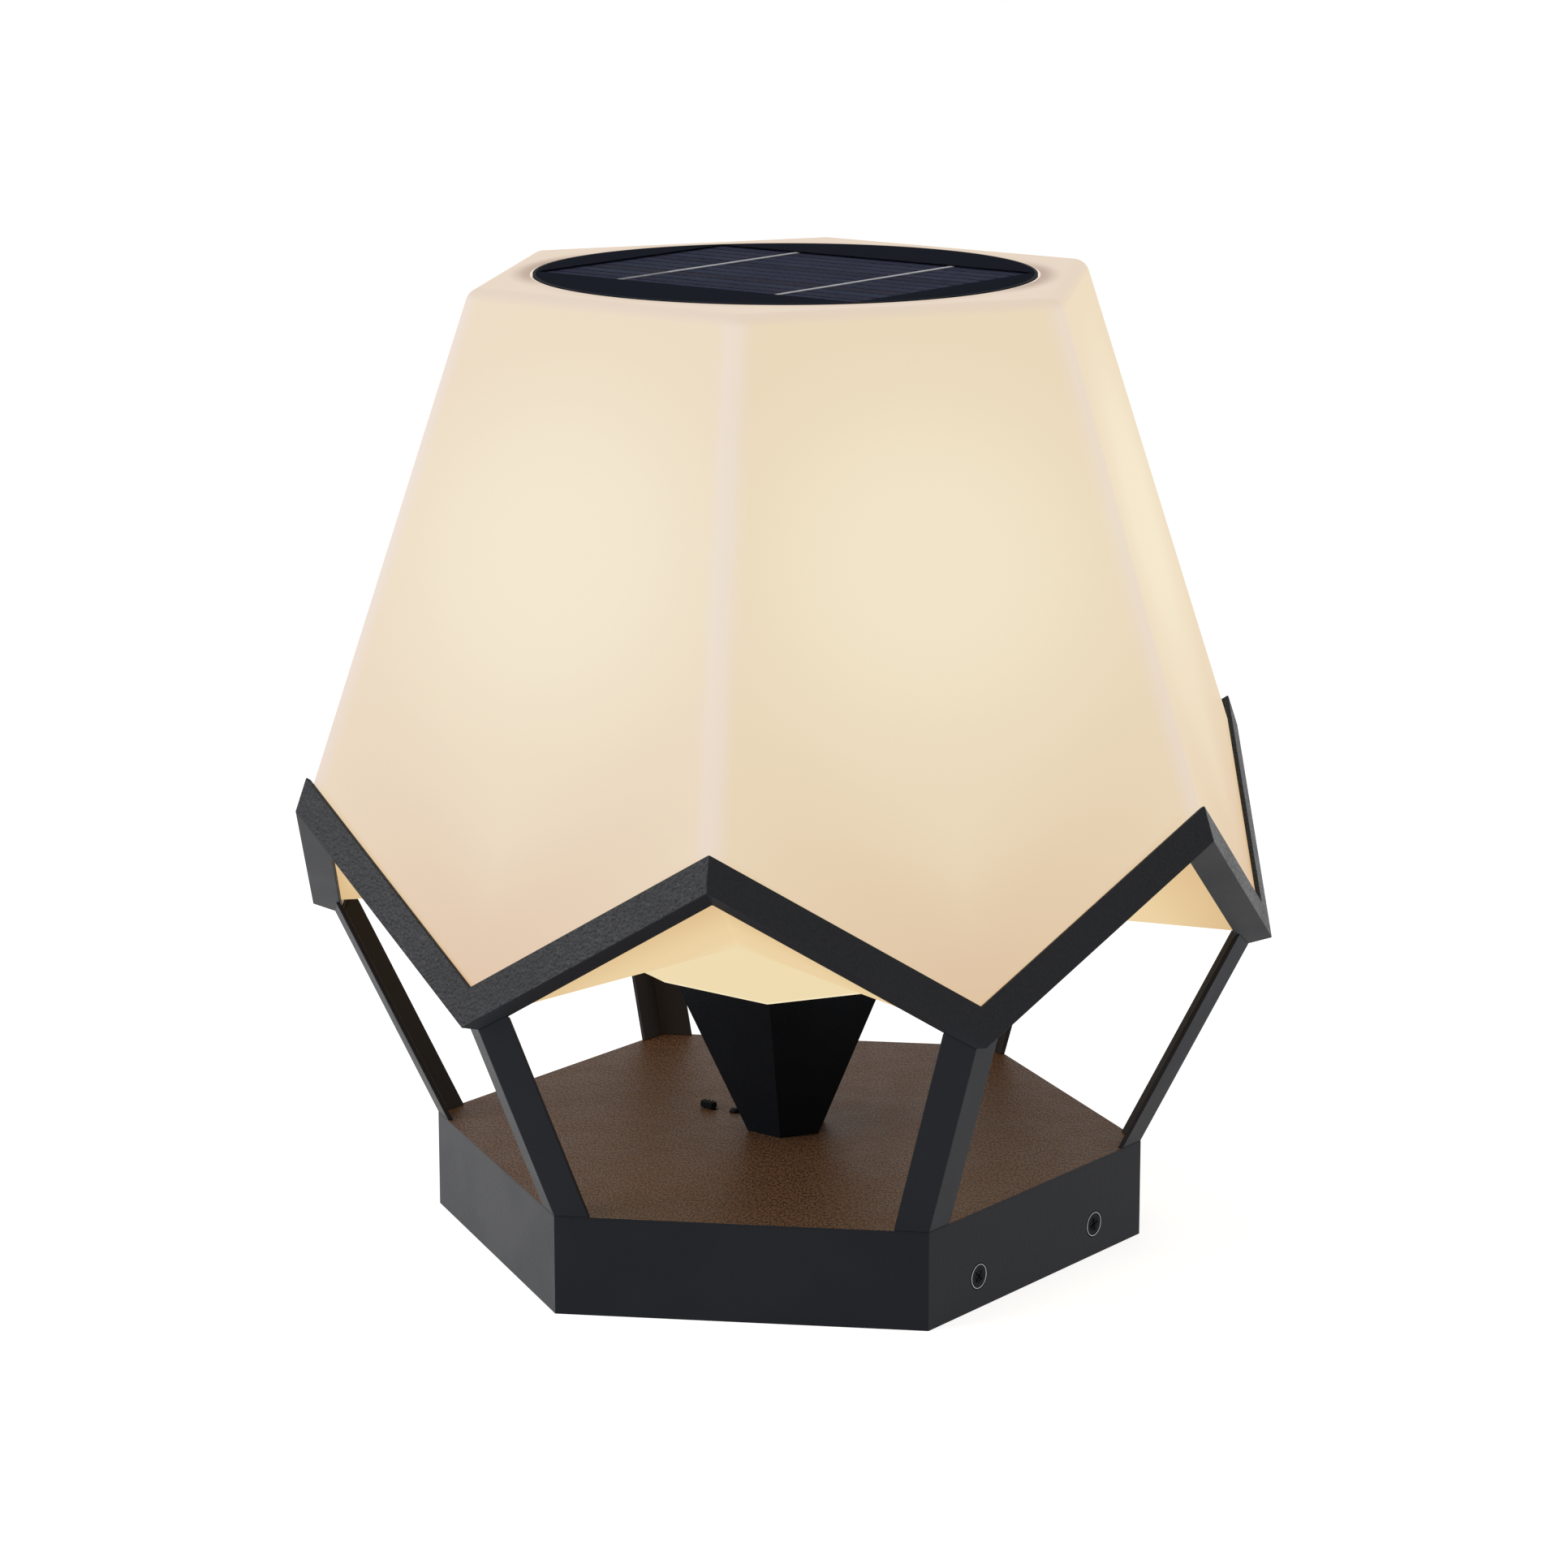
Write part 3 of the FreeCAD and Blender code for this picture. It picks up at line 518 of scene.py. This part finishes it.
# Glow of the underside: brightest on the funnel, more orange out on the star, with a painted highlight at its
# lip
underLook = {
    **opalSkin,
    "base": (0.05, 0.045, 0.04, 1),
    "gloss": 0.03,
    "cloudScale": 12.0,
    "glow": 1.0,
    "middleTone": (0.85, 0.70, 0.43, 1),
    "starTone": (0.815, 0.625, 0.355, 1),
    "edgeTone": (0.71, 0.49, 0.25, 1),
    "edgeHighlightTone": (0.95, 0.82, 0.56, 1),
    "radii": (0.093, 0.112, 0.142),
    "edgeHighlightReach": (0.0005, 0.0012),
}


def underFinish(name, look):
    opal = Finish(name)
    x, y, z = opal.parts()
    radius = opal.maths("SQRT", x * x + y * y)
    inner, mid, outer = look["radii"]
    tone = opal.tones(opal.eased(radius, inner, mid), look["middleTone"], look["starTone"])
    tone = opal.tones(opal.eased(radius, mid, outer), tone, look["edgeTone"])
    # Painted highlight: a thin bright line along the funnel's lip
    tone = opal.tones(1 - opal.eased(z - funnelLow, *look["edgeHighlightReach"]), tone, look["edgeHighlightTone"])
    return opalSurface(opal, look, tone)


opalUnder = underFinish("opalUnderside", underLook)
print("coat and opal mixed")


# Other finishes of the record's slots

metalLook = {
    "lineScale": 260.0,
    "lineDetail": 3.0,
    "lineReach": (0.3, 0.7),
    "lineSway": 0.16,
    "smudgeScale": 28.0,
    "smudgeSway": 0.1,
    "dimming": 0.78,
    "bumpStrength": 0.15,
    "bumpDepth": 0.00006,
}
plasticLook = {
    "grainDetail": 3.0,
    "grainSway": 0.12,
    "cloudScale": 40.0,
    "cloudReach": (0.35, 0.65),
    "dimming": 0.8,
    "bumpStrength": 0.25,
    "bumpDepth": 0.00006,
}
laminateLook = {
    "weave": 5200.0,
    "dimming": 0.75,
    "roughness": 0.34,
    "weaveSway": 0.1,
    "gloss": 0.4,
    "bumpStrength": 0.1,
    "bumpDepth": 0.00004,
}


def dimmed(tone, share):
    return [part * share for part in tone] + [1]


def metalFinish(name, tone, roughness, brush=(1, 1, 1), metallic=1.0, look=metalLook):
    metal = Finish(name)
    lines = metal.noise(look["lineScale"], look["lineDetail"], brush)
    smudge = metal.noise(look["smudgeScale"])
    onLines = metal.eased(lines, *look["lineReach"])
    sway = metal.sway(lines, look["lineSway"]) + metal.sway(smudge, look["smudgeSway"])
    return metal.surface({
        "Base Color": metal.tones(onLines, dimmed(tone, look["dimming"]), (*tone, 1)),
        "Metallic": metallic,
        "Roughness": roughness + sway,
        "Normal": metal.bump(lines, look["bumpStrength"], look["bumpDepth"]),
    })


def plasticFinish(name, tone, roughness, gloss=0.4, grain=900.0, look=plasticLook):
    plastic = Finish(name)
    fine = plastic.noise(grain, look["grainDetail"])
    broad = plastic.eased(plastic.noise(look["cloudScale"]), *look["cloudReach"])
    return plastic.surface({
        "Base Color": plastic.tones(broad, dimmed(tone, look["dimming"]), (*tone, 1)),
        "Roughness": roughness + plastic.sway(fine, look["grainSway"]),
        "Specular IOR Level": gloss,
        "Normal": plastic.bump(fine, look["bumpStrength"], look["bumpDepth"]),
    })


def laminateFinish(name, tone, look=laminateLook):
    board = Finish(name)
    x, y, z = board.parts()
    warp = board.maths("SINE", x * look["weave"])
    weft = board.maths("SINE", y * look["weave"])
    cloth = (warp * weft + 1) * 0.5
    return board.surface({
        "Base Color": board.tones(cloth, dimmed(tone, look["dimming"]), (*tone, 1)),
        "Roughness": look["roughness"] + look["weaveSway"] * cloth,
        "Specular IOR Level": look["gloss"],
        "Normal": board.bump(cloth, look["bumpStrength"], look["bumpDepth"]),
    })


# Panel: silicon strips with a tint each, faint fingers and soft crystal clouds, under a thin cover
panelLook = {
    "azimuth": -30.0,
    "roughness": 0.4,
    "gloss": 0.0012,
    "blue": (0.038, 0.046, 0.090, 1),
    "deepBlue": (0.025, 0.029, 0.058, 1),
    "violet": (0.033, 0.034, 0.058, 1),
    "edgeTone": (0.0085, 0.010, 0.018, 1),
    "fingerTone": (0.040, 0.046, 0.078, 1),
    "violetReach": (0.86, 0.9),
    "topReach": (0.3, 0.7),
    "fingerPitch": 0.0021,
    "fingerReach": (0.07, 0.14),
    "fingerShare": 0.12,
    "fingerStrength": 0.1,
    "fingerDepth": 0.00003,
    "crystalScale": 55.0,
    "crystalDetail": 3.0,
    "crystalReach": (0.3, 0.75),
    "crystalShare": 0.3,
    "crystalSway": 0.1,
    "coverTone": (0.0180, 0.0205, 0.0300, 1),
    "coverAlpha": 0.08,
    "coverMargin": 0.0008,
    "coverRoughness": 0.6,
    "dustScale": 700.0,
    "dustDetail": 3.0,
    "dustReach": (0.62, 0.8),
    "dustAlpha": 0.05,
    "dustSway": 0.1,
}
stripLow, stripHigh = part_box("solar_cells")
stripTurn = math.radians(-panelLook["azimuth"])
stripFlat = math.cos(2 * stripTurn)
stripReach = (stripHigh[0] * math.cos(stripTurn) - stripHigh[1] * math.sin(stripTurn)) / stripFlat
stripSpan = (stripHigh[1] * math.cos(stripTurn) - stripHigh[0] * math.sin(stripTurn)) / stripFlat


def siliconFinish(name, look):
    silicon = Finish(name)
    turn = math.radians(look["azimuth"])
    halfPitch = look["fingerPitch"] / 2
    x, y, z = silicon.parts()
    along = x * math.cos(turn) + y * math.sin(turn)
    tint = silicon.node("ShaderNodeAttribute", {"attribute_name": "tint"}, out="Fac")
    finger = 1 - silicon.eased(silicon.maths("PINGPONG", along, halfPitch) / halfPitch, *look["fingerReach"])
    crystal = silicon.noise(look["crystalScale"], look["crystalDetail"])
    tone = silicon.tones(silicon.eased(tint, 0.0, 1.0), look["deepBlue"], look["blue"])
    tone = silicon.tones(silicon.eased(tint, *look["violetReach"]), tone, look["violet"])
    onCrystal = silicon.eased(crystal, *look["crystalReach"]) * look["crystalShare"]
    tone = silicon.tones(onCrystal, tone, look["deepBlue"])
    tone = silicon.tones(finger * look["fingerShare"], tone, look["fingerTone"])
    facing = silicon.node("ShaderNodeSeparateXYZ", None, {0: silicon.place.other("Normal")}).other("Z")
    return silicon.surface({
        "Base Color": silicon.tones(silicon.eased(facing, *look["topReach"]), look["edgeTone"], tone),
        "Roughness": look["roughness"] + silicon.sway(crystal, look["crystalSway"]),
        "Specular IOR Level": look["gloss"],
        "Normal": silicon.bump(finger, look["fingerStrength"], look["fingerDepth"]),
    })


# The cover is clear over the strips, with a dark mask around them
def coverFinish(name, look):
    cover = Finish(name)
    turn = math.radians(look["azimuth"])
    x, y, z = cover.parts()
    along = cover.maths("ABSOLUTE", x * math.cos(turn) + y * math.sin(turn))
    across = cover.maths("ABSOLUTE", y * math.cos(turn) - x * math.sin(turn))
    masked = cover.maths("MAXIMUM", cover.eased(along, stripReach, stripReach + look["coverMargin"]),
                         cover.eased(across, stripSpan, stripSpan + look["coverMargin"]))
    dust = cover.eased(cover.noise(look["dustScale"], look["dustDetail"]), *look["dustReach"])
    clear = look["coverAlpha"] + look["dustAlpha"] * dust
    return cover.surface({
        "Base Color": look["coverTone"],
        "Alpha": clear + masked * (1 - clear),
        "Roughness": look["coverRoughness"] + cover.sway(dust, look["dustSway"]),
        "Specular IOR Level": 0.0,
    })


silicon = siliconFinish("siliconStrips", panelLook)
finishes = {
    "coat": coat,
    "deck_coat": deckGlowCoat,
    "opal": opalUpper,
    "zinc_plate": metalFinish("zincPlate", (0.5, 0.51, 0.53), 0.42),
    "steel": metalFinish("stainlessSteel", (0.52, 0.52, 0.51), 0.3, (1, 1, 6)),
    "dark_screw": plasticFinish("blackenedSteel", (0.0155, 0.0190, 0.0215), 0.5, 0.06),
    "silicone": plasticFinish("siliconeSeal", (0.56, 0.55, 0.5), 0.55),
    "brass": metalFinish("brassTube", (0.62, 0.45, 0.18), 0.32, (1, 1, 9)),
    "aluminium": metalFinish("aluminiumPlate", (0.68, 0.68, 0.69), 0.36, (1, 7, 1)),
    "led_laminate": laminateFinish("whiteBoard", (0.78, 0.78, 0.75)),
    "led_phosphor": plasticFinish("phosphor", (0.8, 0.58, 0.12), 0.35, 0.5),
    "panel_frame": plasticFinish("panelTray", (0.008, 0.010, 0.0165), 0.6, 0.015),
    "backsheet": plasticFinish("panelBack", (0.0085, 0.0110, 0.0200), 0.6, 0.015),
    "solar_cell": silicon,
    "busbar": metalFinish("tinnedRibbon", (0.62, 0.62, 0.64), 0.45, (1, 1, 1), 0.3),
    "panel_glass": coverFinish("panelCover", panelLook),
    "white_plastic": plasticFinish("whiteMoulding", (0.75, 0.74, 0.7), 0.45),
    "black_plastic": plasticFinish("blackMoulding", (0.0042, 0.0048, 0.0064), 0.55, 0.06),
    "button_plastic": plasticFinish("buttonMoulding", (0.0075, 0.0052, 0.0054), 0.5, 0.07),
    "lead_jacket": plasticFinish("leadJacket", (0.03, 0.03, 0.03), 0.55),
    "cell_wrap": plasticFinish("cellWrap", (0.06, 0.16, 0.4), 0.28, 0.5, 300.0),
    "nickel": metalFinish("nickelContact", (0.66, 0.62, 0.55), 0.22, (1, 8, 1)),
    "board_laminate": laminateFinish("greenBoard", (0.025, 0.16, 0.06)),
}
for node in nodes.values():
    slotName = node.data.materials[0].name.split(".")[0]
    for index in range(len(node.data.materials)):
        node.data.materials[index] = finishes[slotName]
print("finishes on the frame's nodes")


# Sheet metal and moulded pieces, with eased edges

sheetEasing = {"weld": 0.00001, "flatAngle": 1.0, "edgeAngle": 25.0, "radius": 0.0003, "segments": 3}
postEasing = {**sheetEasing, "radius": 0.0006}
rimEasing = {**sheetEasing, "radius": 0.00015, "segments": 2}
smallEasing = {"weld": 0.000005, "flatAngle": 1.0, "edgeAngle": 30.0, "radius": 0.00006, "segments": 2}
# Where faces change finish by how far up they point: painted light on the belt's undersides and the deck's
# top
tonePlan = {"beltUnder": -0.3, "deckTop": 0.95}  # how far up a face points, where its tone changes
corners = range(1, 7)

beltNames = ["belt_segment_%d" % corner for corner in corners]
belt = softened("belt", beltNames, sheetEasing, seamAzimuths=(30, 90, 150))  # the mitres at the high corners
dressed(belt, beltCoat)
# The belt's down-facing faces take the plainer coat, tuned to how the lamp's glow lights the flanges: painted
# light
twoToned(belt, coat, lambda normal: normal.z < tonePlan["beltUnder"])
for corner in corners:
    strip = dressed(softened("legStrip%d" % corner, ["leg_%d" % corner], sheetEasing), coat)
    legLow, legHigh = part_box("leg_%d" % corner)
    outwards = Vector((legLow[0] + legHigh[0], legLow[1] + legHigh[1], 0))
    # Faces that look towards the axis take the painted warm light and shade
    twoToned(strip, insideCoat, lambda normal: normal.dot(outwards) < 0)
dressed(softened("skirt", ["base_skirt"], sheetEasing), skirtCoat)
deck = dressed(softened("deck", ["base_deck"], rimEasing), deckGlowCoat)
# Only the deck's upward faces take the painted warm light; its edges keep the skirt's coat
twoToned(deck, skirtCoat, lambda normal: normal.z <= tonePlan["deckTop"])
dressed(softened("post", ["post_shell"], postEasing), postCoat)
dressed(softened("slideKnob", ["switch_knob"], smallEasing, "switch_knob"), finishes["black_plastic"])
dressed(softened("pushButton", ["mode_button"], smallEasing, "mode_button"), finishes["button_plastic"])
print("frame pieces eased")


# Upper shade: a folded shell that follows the belt's zigzag below and the panel's circle above

topHeight = shadeBox[1][2]
shadeWall = {"thickness": 0.0024, "edge": 0.0035, "segments": 8, "edgeAngle": 30.0, "trayGap": 0.0003}
shadeSizes = {
    "Sides": shadeForm["sides"],
    "Steps": 12,
    "Low Apothem": shadeBox[1][0],
    "Low Height": shadeLow,
    "High Apothem": shadeBox[1][1] * math.cos(halfSide),
    "High Height": shadeLow + shadeRise,
    "Top Apothem": shadeBox[1][0] - shadeForm["faceFall"] * (topHeight - shadeLow),
    "Top Height": topHeight,
    "Opening Radius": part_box("panel_tray")[1][0] + shadeWall["trayGap"],
    "Weld": 0.00001,
    "Material": opalUpper,
}


# A sheet wrapped round the sides, of three rows: the rim on the belt, the fold to the top and the opening
def foldedShade(sizes):
    tree = Growth("foldedShade", sizes)
    sides, steps = tree.size("Sides"), tree.size("Steps")
    rowCount = 3
    sheet = tree.node("GeometryNodeMeshGrid", None, {
        "Vertices X": sides * steps * 2 + 1, "Vertices Y": rowCount})
    index = tree.node("GeometryNodeInputIndex")
    column = tree.maths("FLOOR", (index + 0.5) / rowCount)
    row = index - column * rowCount
    sector = column / (steps * 2)
    facing = tree.maths("ROUND", sector)
    share = tree.maths("ABSOLUTE", sector - facing) * 2
    side = tree.maths("SIGN", sector - facing)
    half = math.pi / sides
    onRim = 1 - tree.maths("MINIMUM", row, 1.0)
    onOpening = tree.maths("MAXIMUM", row - 1, 0.0)
    onFold = 1 - onRim - onOpening
    lowApothem, highApothem = tree.size("Low Apothem"), tree.size("High Apothem")
    lowHeight, highHeight = tree.size("Low Height"), tree.size("High Height")
    slope = tree.maths("TANGENT", half)
    bend = half * share
    outwards = (onRim * (lowApothem + (highApothem - lowApothem) * share) + onFold * tree.size("Top Apothem")
                + onOpening * tree.size("Opening Radius") * tree.maths("COSINE", bend))
    sideways = side * (onRim * highApothem * slope * share + onFold * tree.size("Top Apothem") * slope * share
                       + onOpening * tree.size("Opening Radius") * tree.maths("SINE", bend))
    height = (onRim * (lowHeight + (highHeight - lowHeight) * share)
              + (1 - onRim) * tree.size("Top Height"))
    turn = facing * half * 2
    cosine, sine = tree.maths("COSINE", turn), tree.maths("SINE", turn)
    place = tree.axes(outwards * cosine - sideways * sine, outwards * sine + sideways * cosine, height)
    bent = tree.node("GeometryNodeSetPosition", None, {"Geometry": sheet, "Position": place})
    closed = tree.node("GeometryNodeMergeByDistance", None, {"Geometry": bent, "Distance": tree.size("Weld")})
    return tree.grown("upperShade", closed)


upperShade = foldedShade(shadeSizes)
upperShade.data.polygons.foreach_set("use_smooth", [True] * len(upperShade.data.polygons))
rounding = upperShade.modifiers.new("rounding", "BEVEL")
rounding.limit_method = "ANGLE"
rounding.angle_limit = math.radians(shadeWall["edgeAngle"])
rounding.width = shadeWall["edge"]
rounding.segments = shadeWall["segments"]
wall = upperShade.modifiers.new("wall", "SOLIDIFY")
wall.thickness = shadeWall["thickness"]
wall.offset = -1
wall.use_even_offset = True
upperShade.modifiers.new("flats", "WEIGHTED_NORMAL")
madePlain(upperShade)
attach(upperShade, "root")
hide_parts("shade_upper")
print("upper shade folded")

# Lower shade: the star of folds and the funnel, with softly moulded folds
foldEasing = {**sheetEasing, "edgeAngle": 8.0, "radius": 0.0006}
dressed(softened("lowerShade", ["shade_lower"], foldEasing), opalUnder)
print("lower shade eased")


# Cell strips in a line array, each with its own tint

stripPlan = {"gap": 0.0009, "count": 12}
stripPitch = (2 * stripSpan + stripPlan["gap"]) / stripPlan["count"]
stripSizes = {
    "Count": stripPlan["count"],
    "Pitch": stripPitch,
    "Width": stripPitch - stripPlan["gap"],
    "Length": 2 * stripReach,
    "Thickness": stripHigh[2] - stripLow[2],
    "Height": (stripHigh[2] + stripLow[2]) / 2,
    "Azimuth": panelLook["azimuth"],
    "Seed": 11,
    "Material": silicon,
}


def stripArray(sizes):
    tree = Growth("stripArray", sizes)
    count, pitch = tree.size("Count"), tree.size("Pitch")
    start = tree.axes(0.0, (count - 1) * pitch * -0.5, tree.size("Height"))
    line = tree.node("GeometryNodeMeshLine", None, {"Count": count, "Start Location": start,
                                                    "Offset": tree.axes(0.0, pitch, 0.0)})
    strip = tree.node("GeometryNodeMeshCube", None, {
        "Size": tree.axes(tree.size("Length"), tree.size("Width"), tree.size("Thickness"))})
    strips = tree.node("GeometryNodeInstanceOnPoints", None, {"Points": line, "Instance": strip})
    chance = tree.node("FunctionNodeRandomValue", {"data_type": "FLOAT"}, {"Seed": tree.size("Seed")}, out=1)
    tinted = tree.node("GeometryNodeStoreNamedAttribute", {"data_type": "FLOAT", "domain": "INSTANCE"},
                       {"Geometry": strips, "Name": "tint", "Value": chance})
    turned = tree.node("GeometryNodeTransform", None, {
        "Geometry": tinted, "Rotation": tree.axes(0.0, 0.0, tree.size("Azimuth") * degree)})
    return tree.grown("cellStrips", turned)


cellStrips = stripArray(stripSizes)
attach(cellStrips, "root")
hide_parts("solar_cells")
print("cell strips laid")


# Skirt screws: countersunk heads, each with its cross recess turned its own way as dark bars of painted
# shade, and a thin bright ring as a painted highlight

screwSizes = {
    "Face Apothem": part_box("base_skirt")[1][1],
    "Spacing": 0.06,
    "Height": 0.0098,
    "First Azimuth": -30.0,
    "Turn Step": 0.0,
    "Head Sides": 48,
    "Shank Sides": 24,
    "Head Radius": 0.004,
    "Shank Radius": 0.002,
    "Head Depth": 0.0018,
    "Shank Length": 0.008,
    "Material": finishes["dark_screw"],
}
screwPlaces = {label: screwSizes[label] for label in ("Face Apothem", "Spacing", "Height", "First Azimuth")}
recessShadowSizes = {
    **screwPlaces,
    "Turn Step": 58.0,
    "Recess Length": 0.0042,
    "Recess Width": 0.00034,
    "Recess Depth": 0.0004,
    "Recess Turn": 45.0,
    "Lift": 0.00001,
    "Material": plasticFinish("recessShadow", (0.002, 0.0022, 0.003), 0.7, 0.0),
}
rimHighlightSizes = {
    **screwPlaces,
    "Turn Step": 0.0,
    "Rim Sides": 48,
    "Wire Sides": 8,
    "Rim Radius": 0.0036,
    "Rim Width": 0.0001,
    "Material": metalFinish("bareRim", (0.6, 0.62, 0.64), 0.35),
}


# Join Geometry's one socket takes both links
def joined(tree, first, second):
    both = tree.node("GeometryNodeJoinGeometry", None, {"Geometry": first})
    tree.group.links.new(second.socket, both.socket.node.inputs["Geometry"])
    return both


# Puts what points along Z on both screw places of the near face and of the far one
def onSkirtFaces(tree, geometry):
    outwards = tree.node("GeometryNodeTransform", None, {
        "Geometry": geometry, "Rotation": (0.0, math.pi / 2, 0.0)})
    spacing = tree.size("Spacing")
    pair = tree.node("GeometryNodeMeshLine", None, {
        "Count": 2,
        "Start Location": tree.axes(tree.size("Face Apothem"), spacing * -0.5, tree.size("Height")),
        "Offset": tree.axes(0.0, spacing, 0.0)})
    turn = tree.node("GeometryNodeInputIndex") * tree.size("Turn Step") * degree
    face = tree.node("GeometryNodeInstanceOnPoints", None, {
        "Points": pair, "Instance": outwards, "Rotation": tree.axes(turn, 0.0, 0.0)})
    azimuth = tree.size("First Azimuth") * degree
    near = tree.node("GeometryNodeTransform", None, {
        "Geometry": face, "Rotation": tree.axes(0.0, 0.0, azimuth)})
    far = tree.node("GeometryNodeTransform", None, {
        "Geometry": face, "Rotation": tree.axes(0.0, 0.0, azimuth + math.pi)})
    return joined(tree, near, far)


def countersunkScrews(sizes):
    tree = Growth("countersunkScrews", sizes)
    depth, shank = tree.size("Head Depth"), tree.size("Shank Length")
    head = tree.node("GeometryNodeMeshCone", None, {
        "Vertices": tree.size("Head Sides"), "Radius Top": tree.size("Head Radius"),
        "Radius Bottom": tree.size("Shank Radius"), "Depth": depth})
    head = tree.node("GeometryNodeTransform", None, {
        "Geometry": head, "Translation": tree.axes(0.0, 0.0, depth * -1)})
    stem = tree.node("GeometryNodeMeshCylinder", None, {
        "Vertices": tree.size("Shank Sides"), "Radius": tree.size("Shank Radius"), "Depth": shank})
    stem = tree.node("GeometryNodeTransform", None, {
        "Geometry": stem, "Translation": tree.axes(0.0, 0.0, shank * -0.5)})
    return tree.grown("skirtScrews", onSkirtFaces(tree, joined(tree, head, stem)))


# Painted shade of the cross recesses: dark bars lying flush on the heads, with no recess cut
def crossRecesses(sizes):
    tree = Growth("crossRecesses", sizes)
    depth = tree.size("Recess Depth")
    bar = tree.node("GeometryNodeMeshCube", None, {
        "Size": tree.axes(tree.size("Recess Length"), tree.size("Recess Width"), depth)})
    lift = tree.size("Lift") - depth * 0.5
    turn = tree.size("Recess Turn") * degree
    bars = [tree.node("GeometryNodeTransform", None, {
        "Geometry": bar,
        "Translation": tree.axes(0.0, 0.0, lift),
        "Rotation": tree.axes(0.0, 0.0, turn + step)}) for step in (0.0, math.pi / 2)]
    return tree.grown("crossRecesses", onSkirtFaces(tree, joined(tree, *bars)))


# Painted highlight: a thin bright metal ring round each head, for the light on the countersink's edge
def screwRims(sizes):
    tree = Growth("screwRims", sizes)
    circle = tree.node("GeometryNodeCurvePrimitiveCircle", None, {
        "Resolution": tree.size("Rim Sides"), "Radius": tree.size("Rim Radius")})
    wire = tree.node("GeometryNodeCurvePrimitiveCircle", None, {
        "Resolution": tree.size("Wire Sides"), "Radius": tree.size("Rim Width")})
    rim = tree.node("GeometryNodeCurveToMesh", None, {"Curve": circle, "Profile Curve": wire})
    return tree.grown("screwRims", onSkirtFaces(tree, rim))


skirtScrews = countersunkScrews(screwSizes)
for piece in (skirtScrews, crossRecesses(recessShadowSizes), screwRims(rimHighlightSizes)):
    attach(piece, "root")
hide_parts("skirt_screws")
print("skirt screws driven")
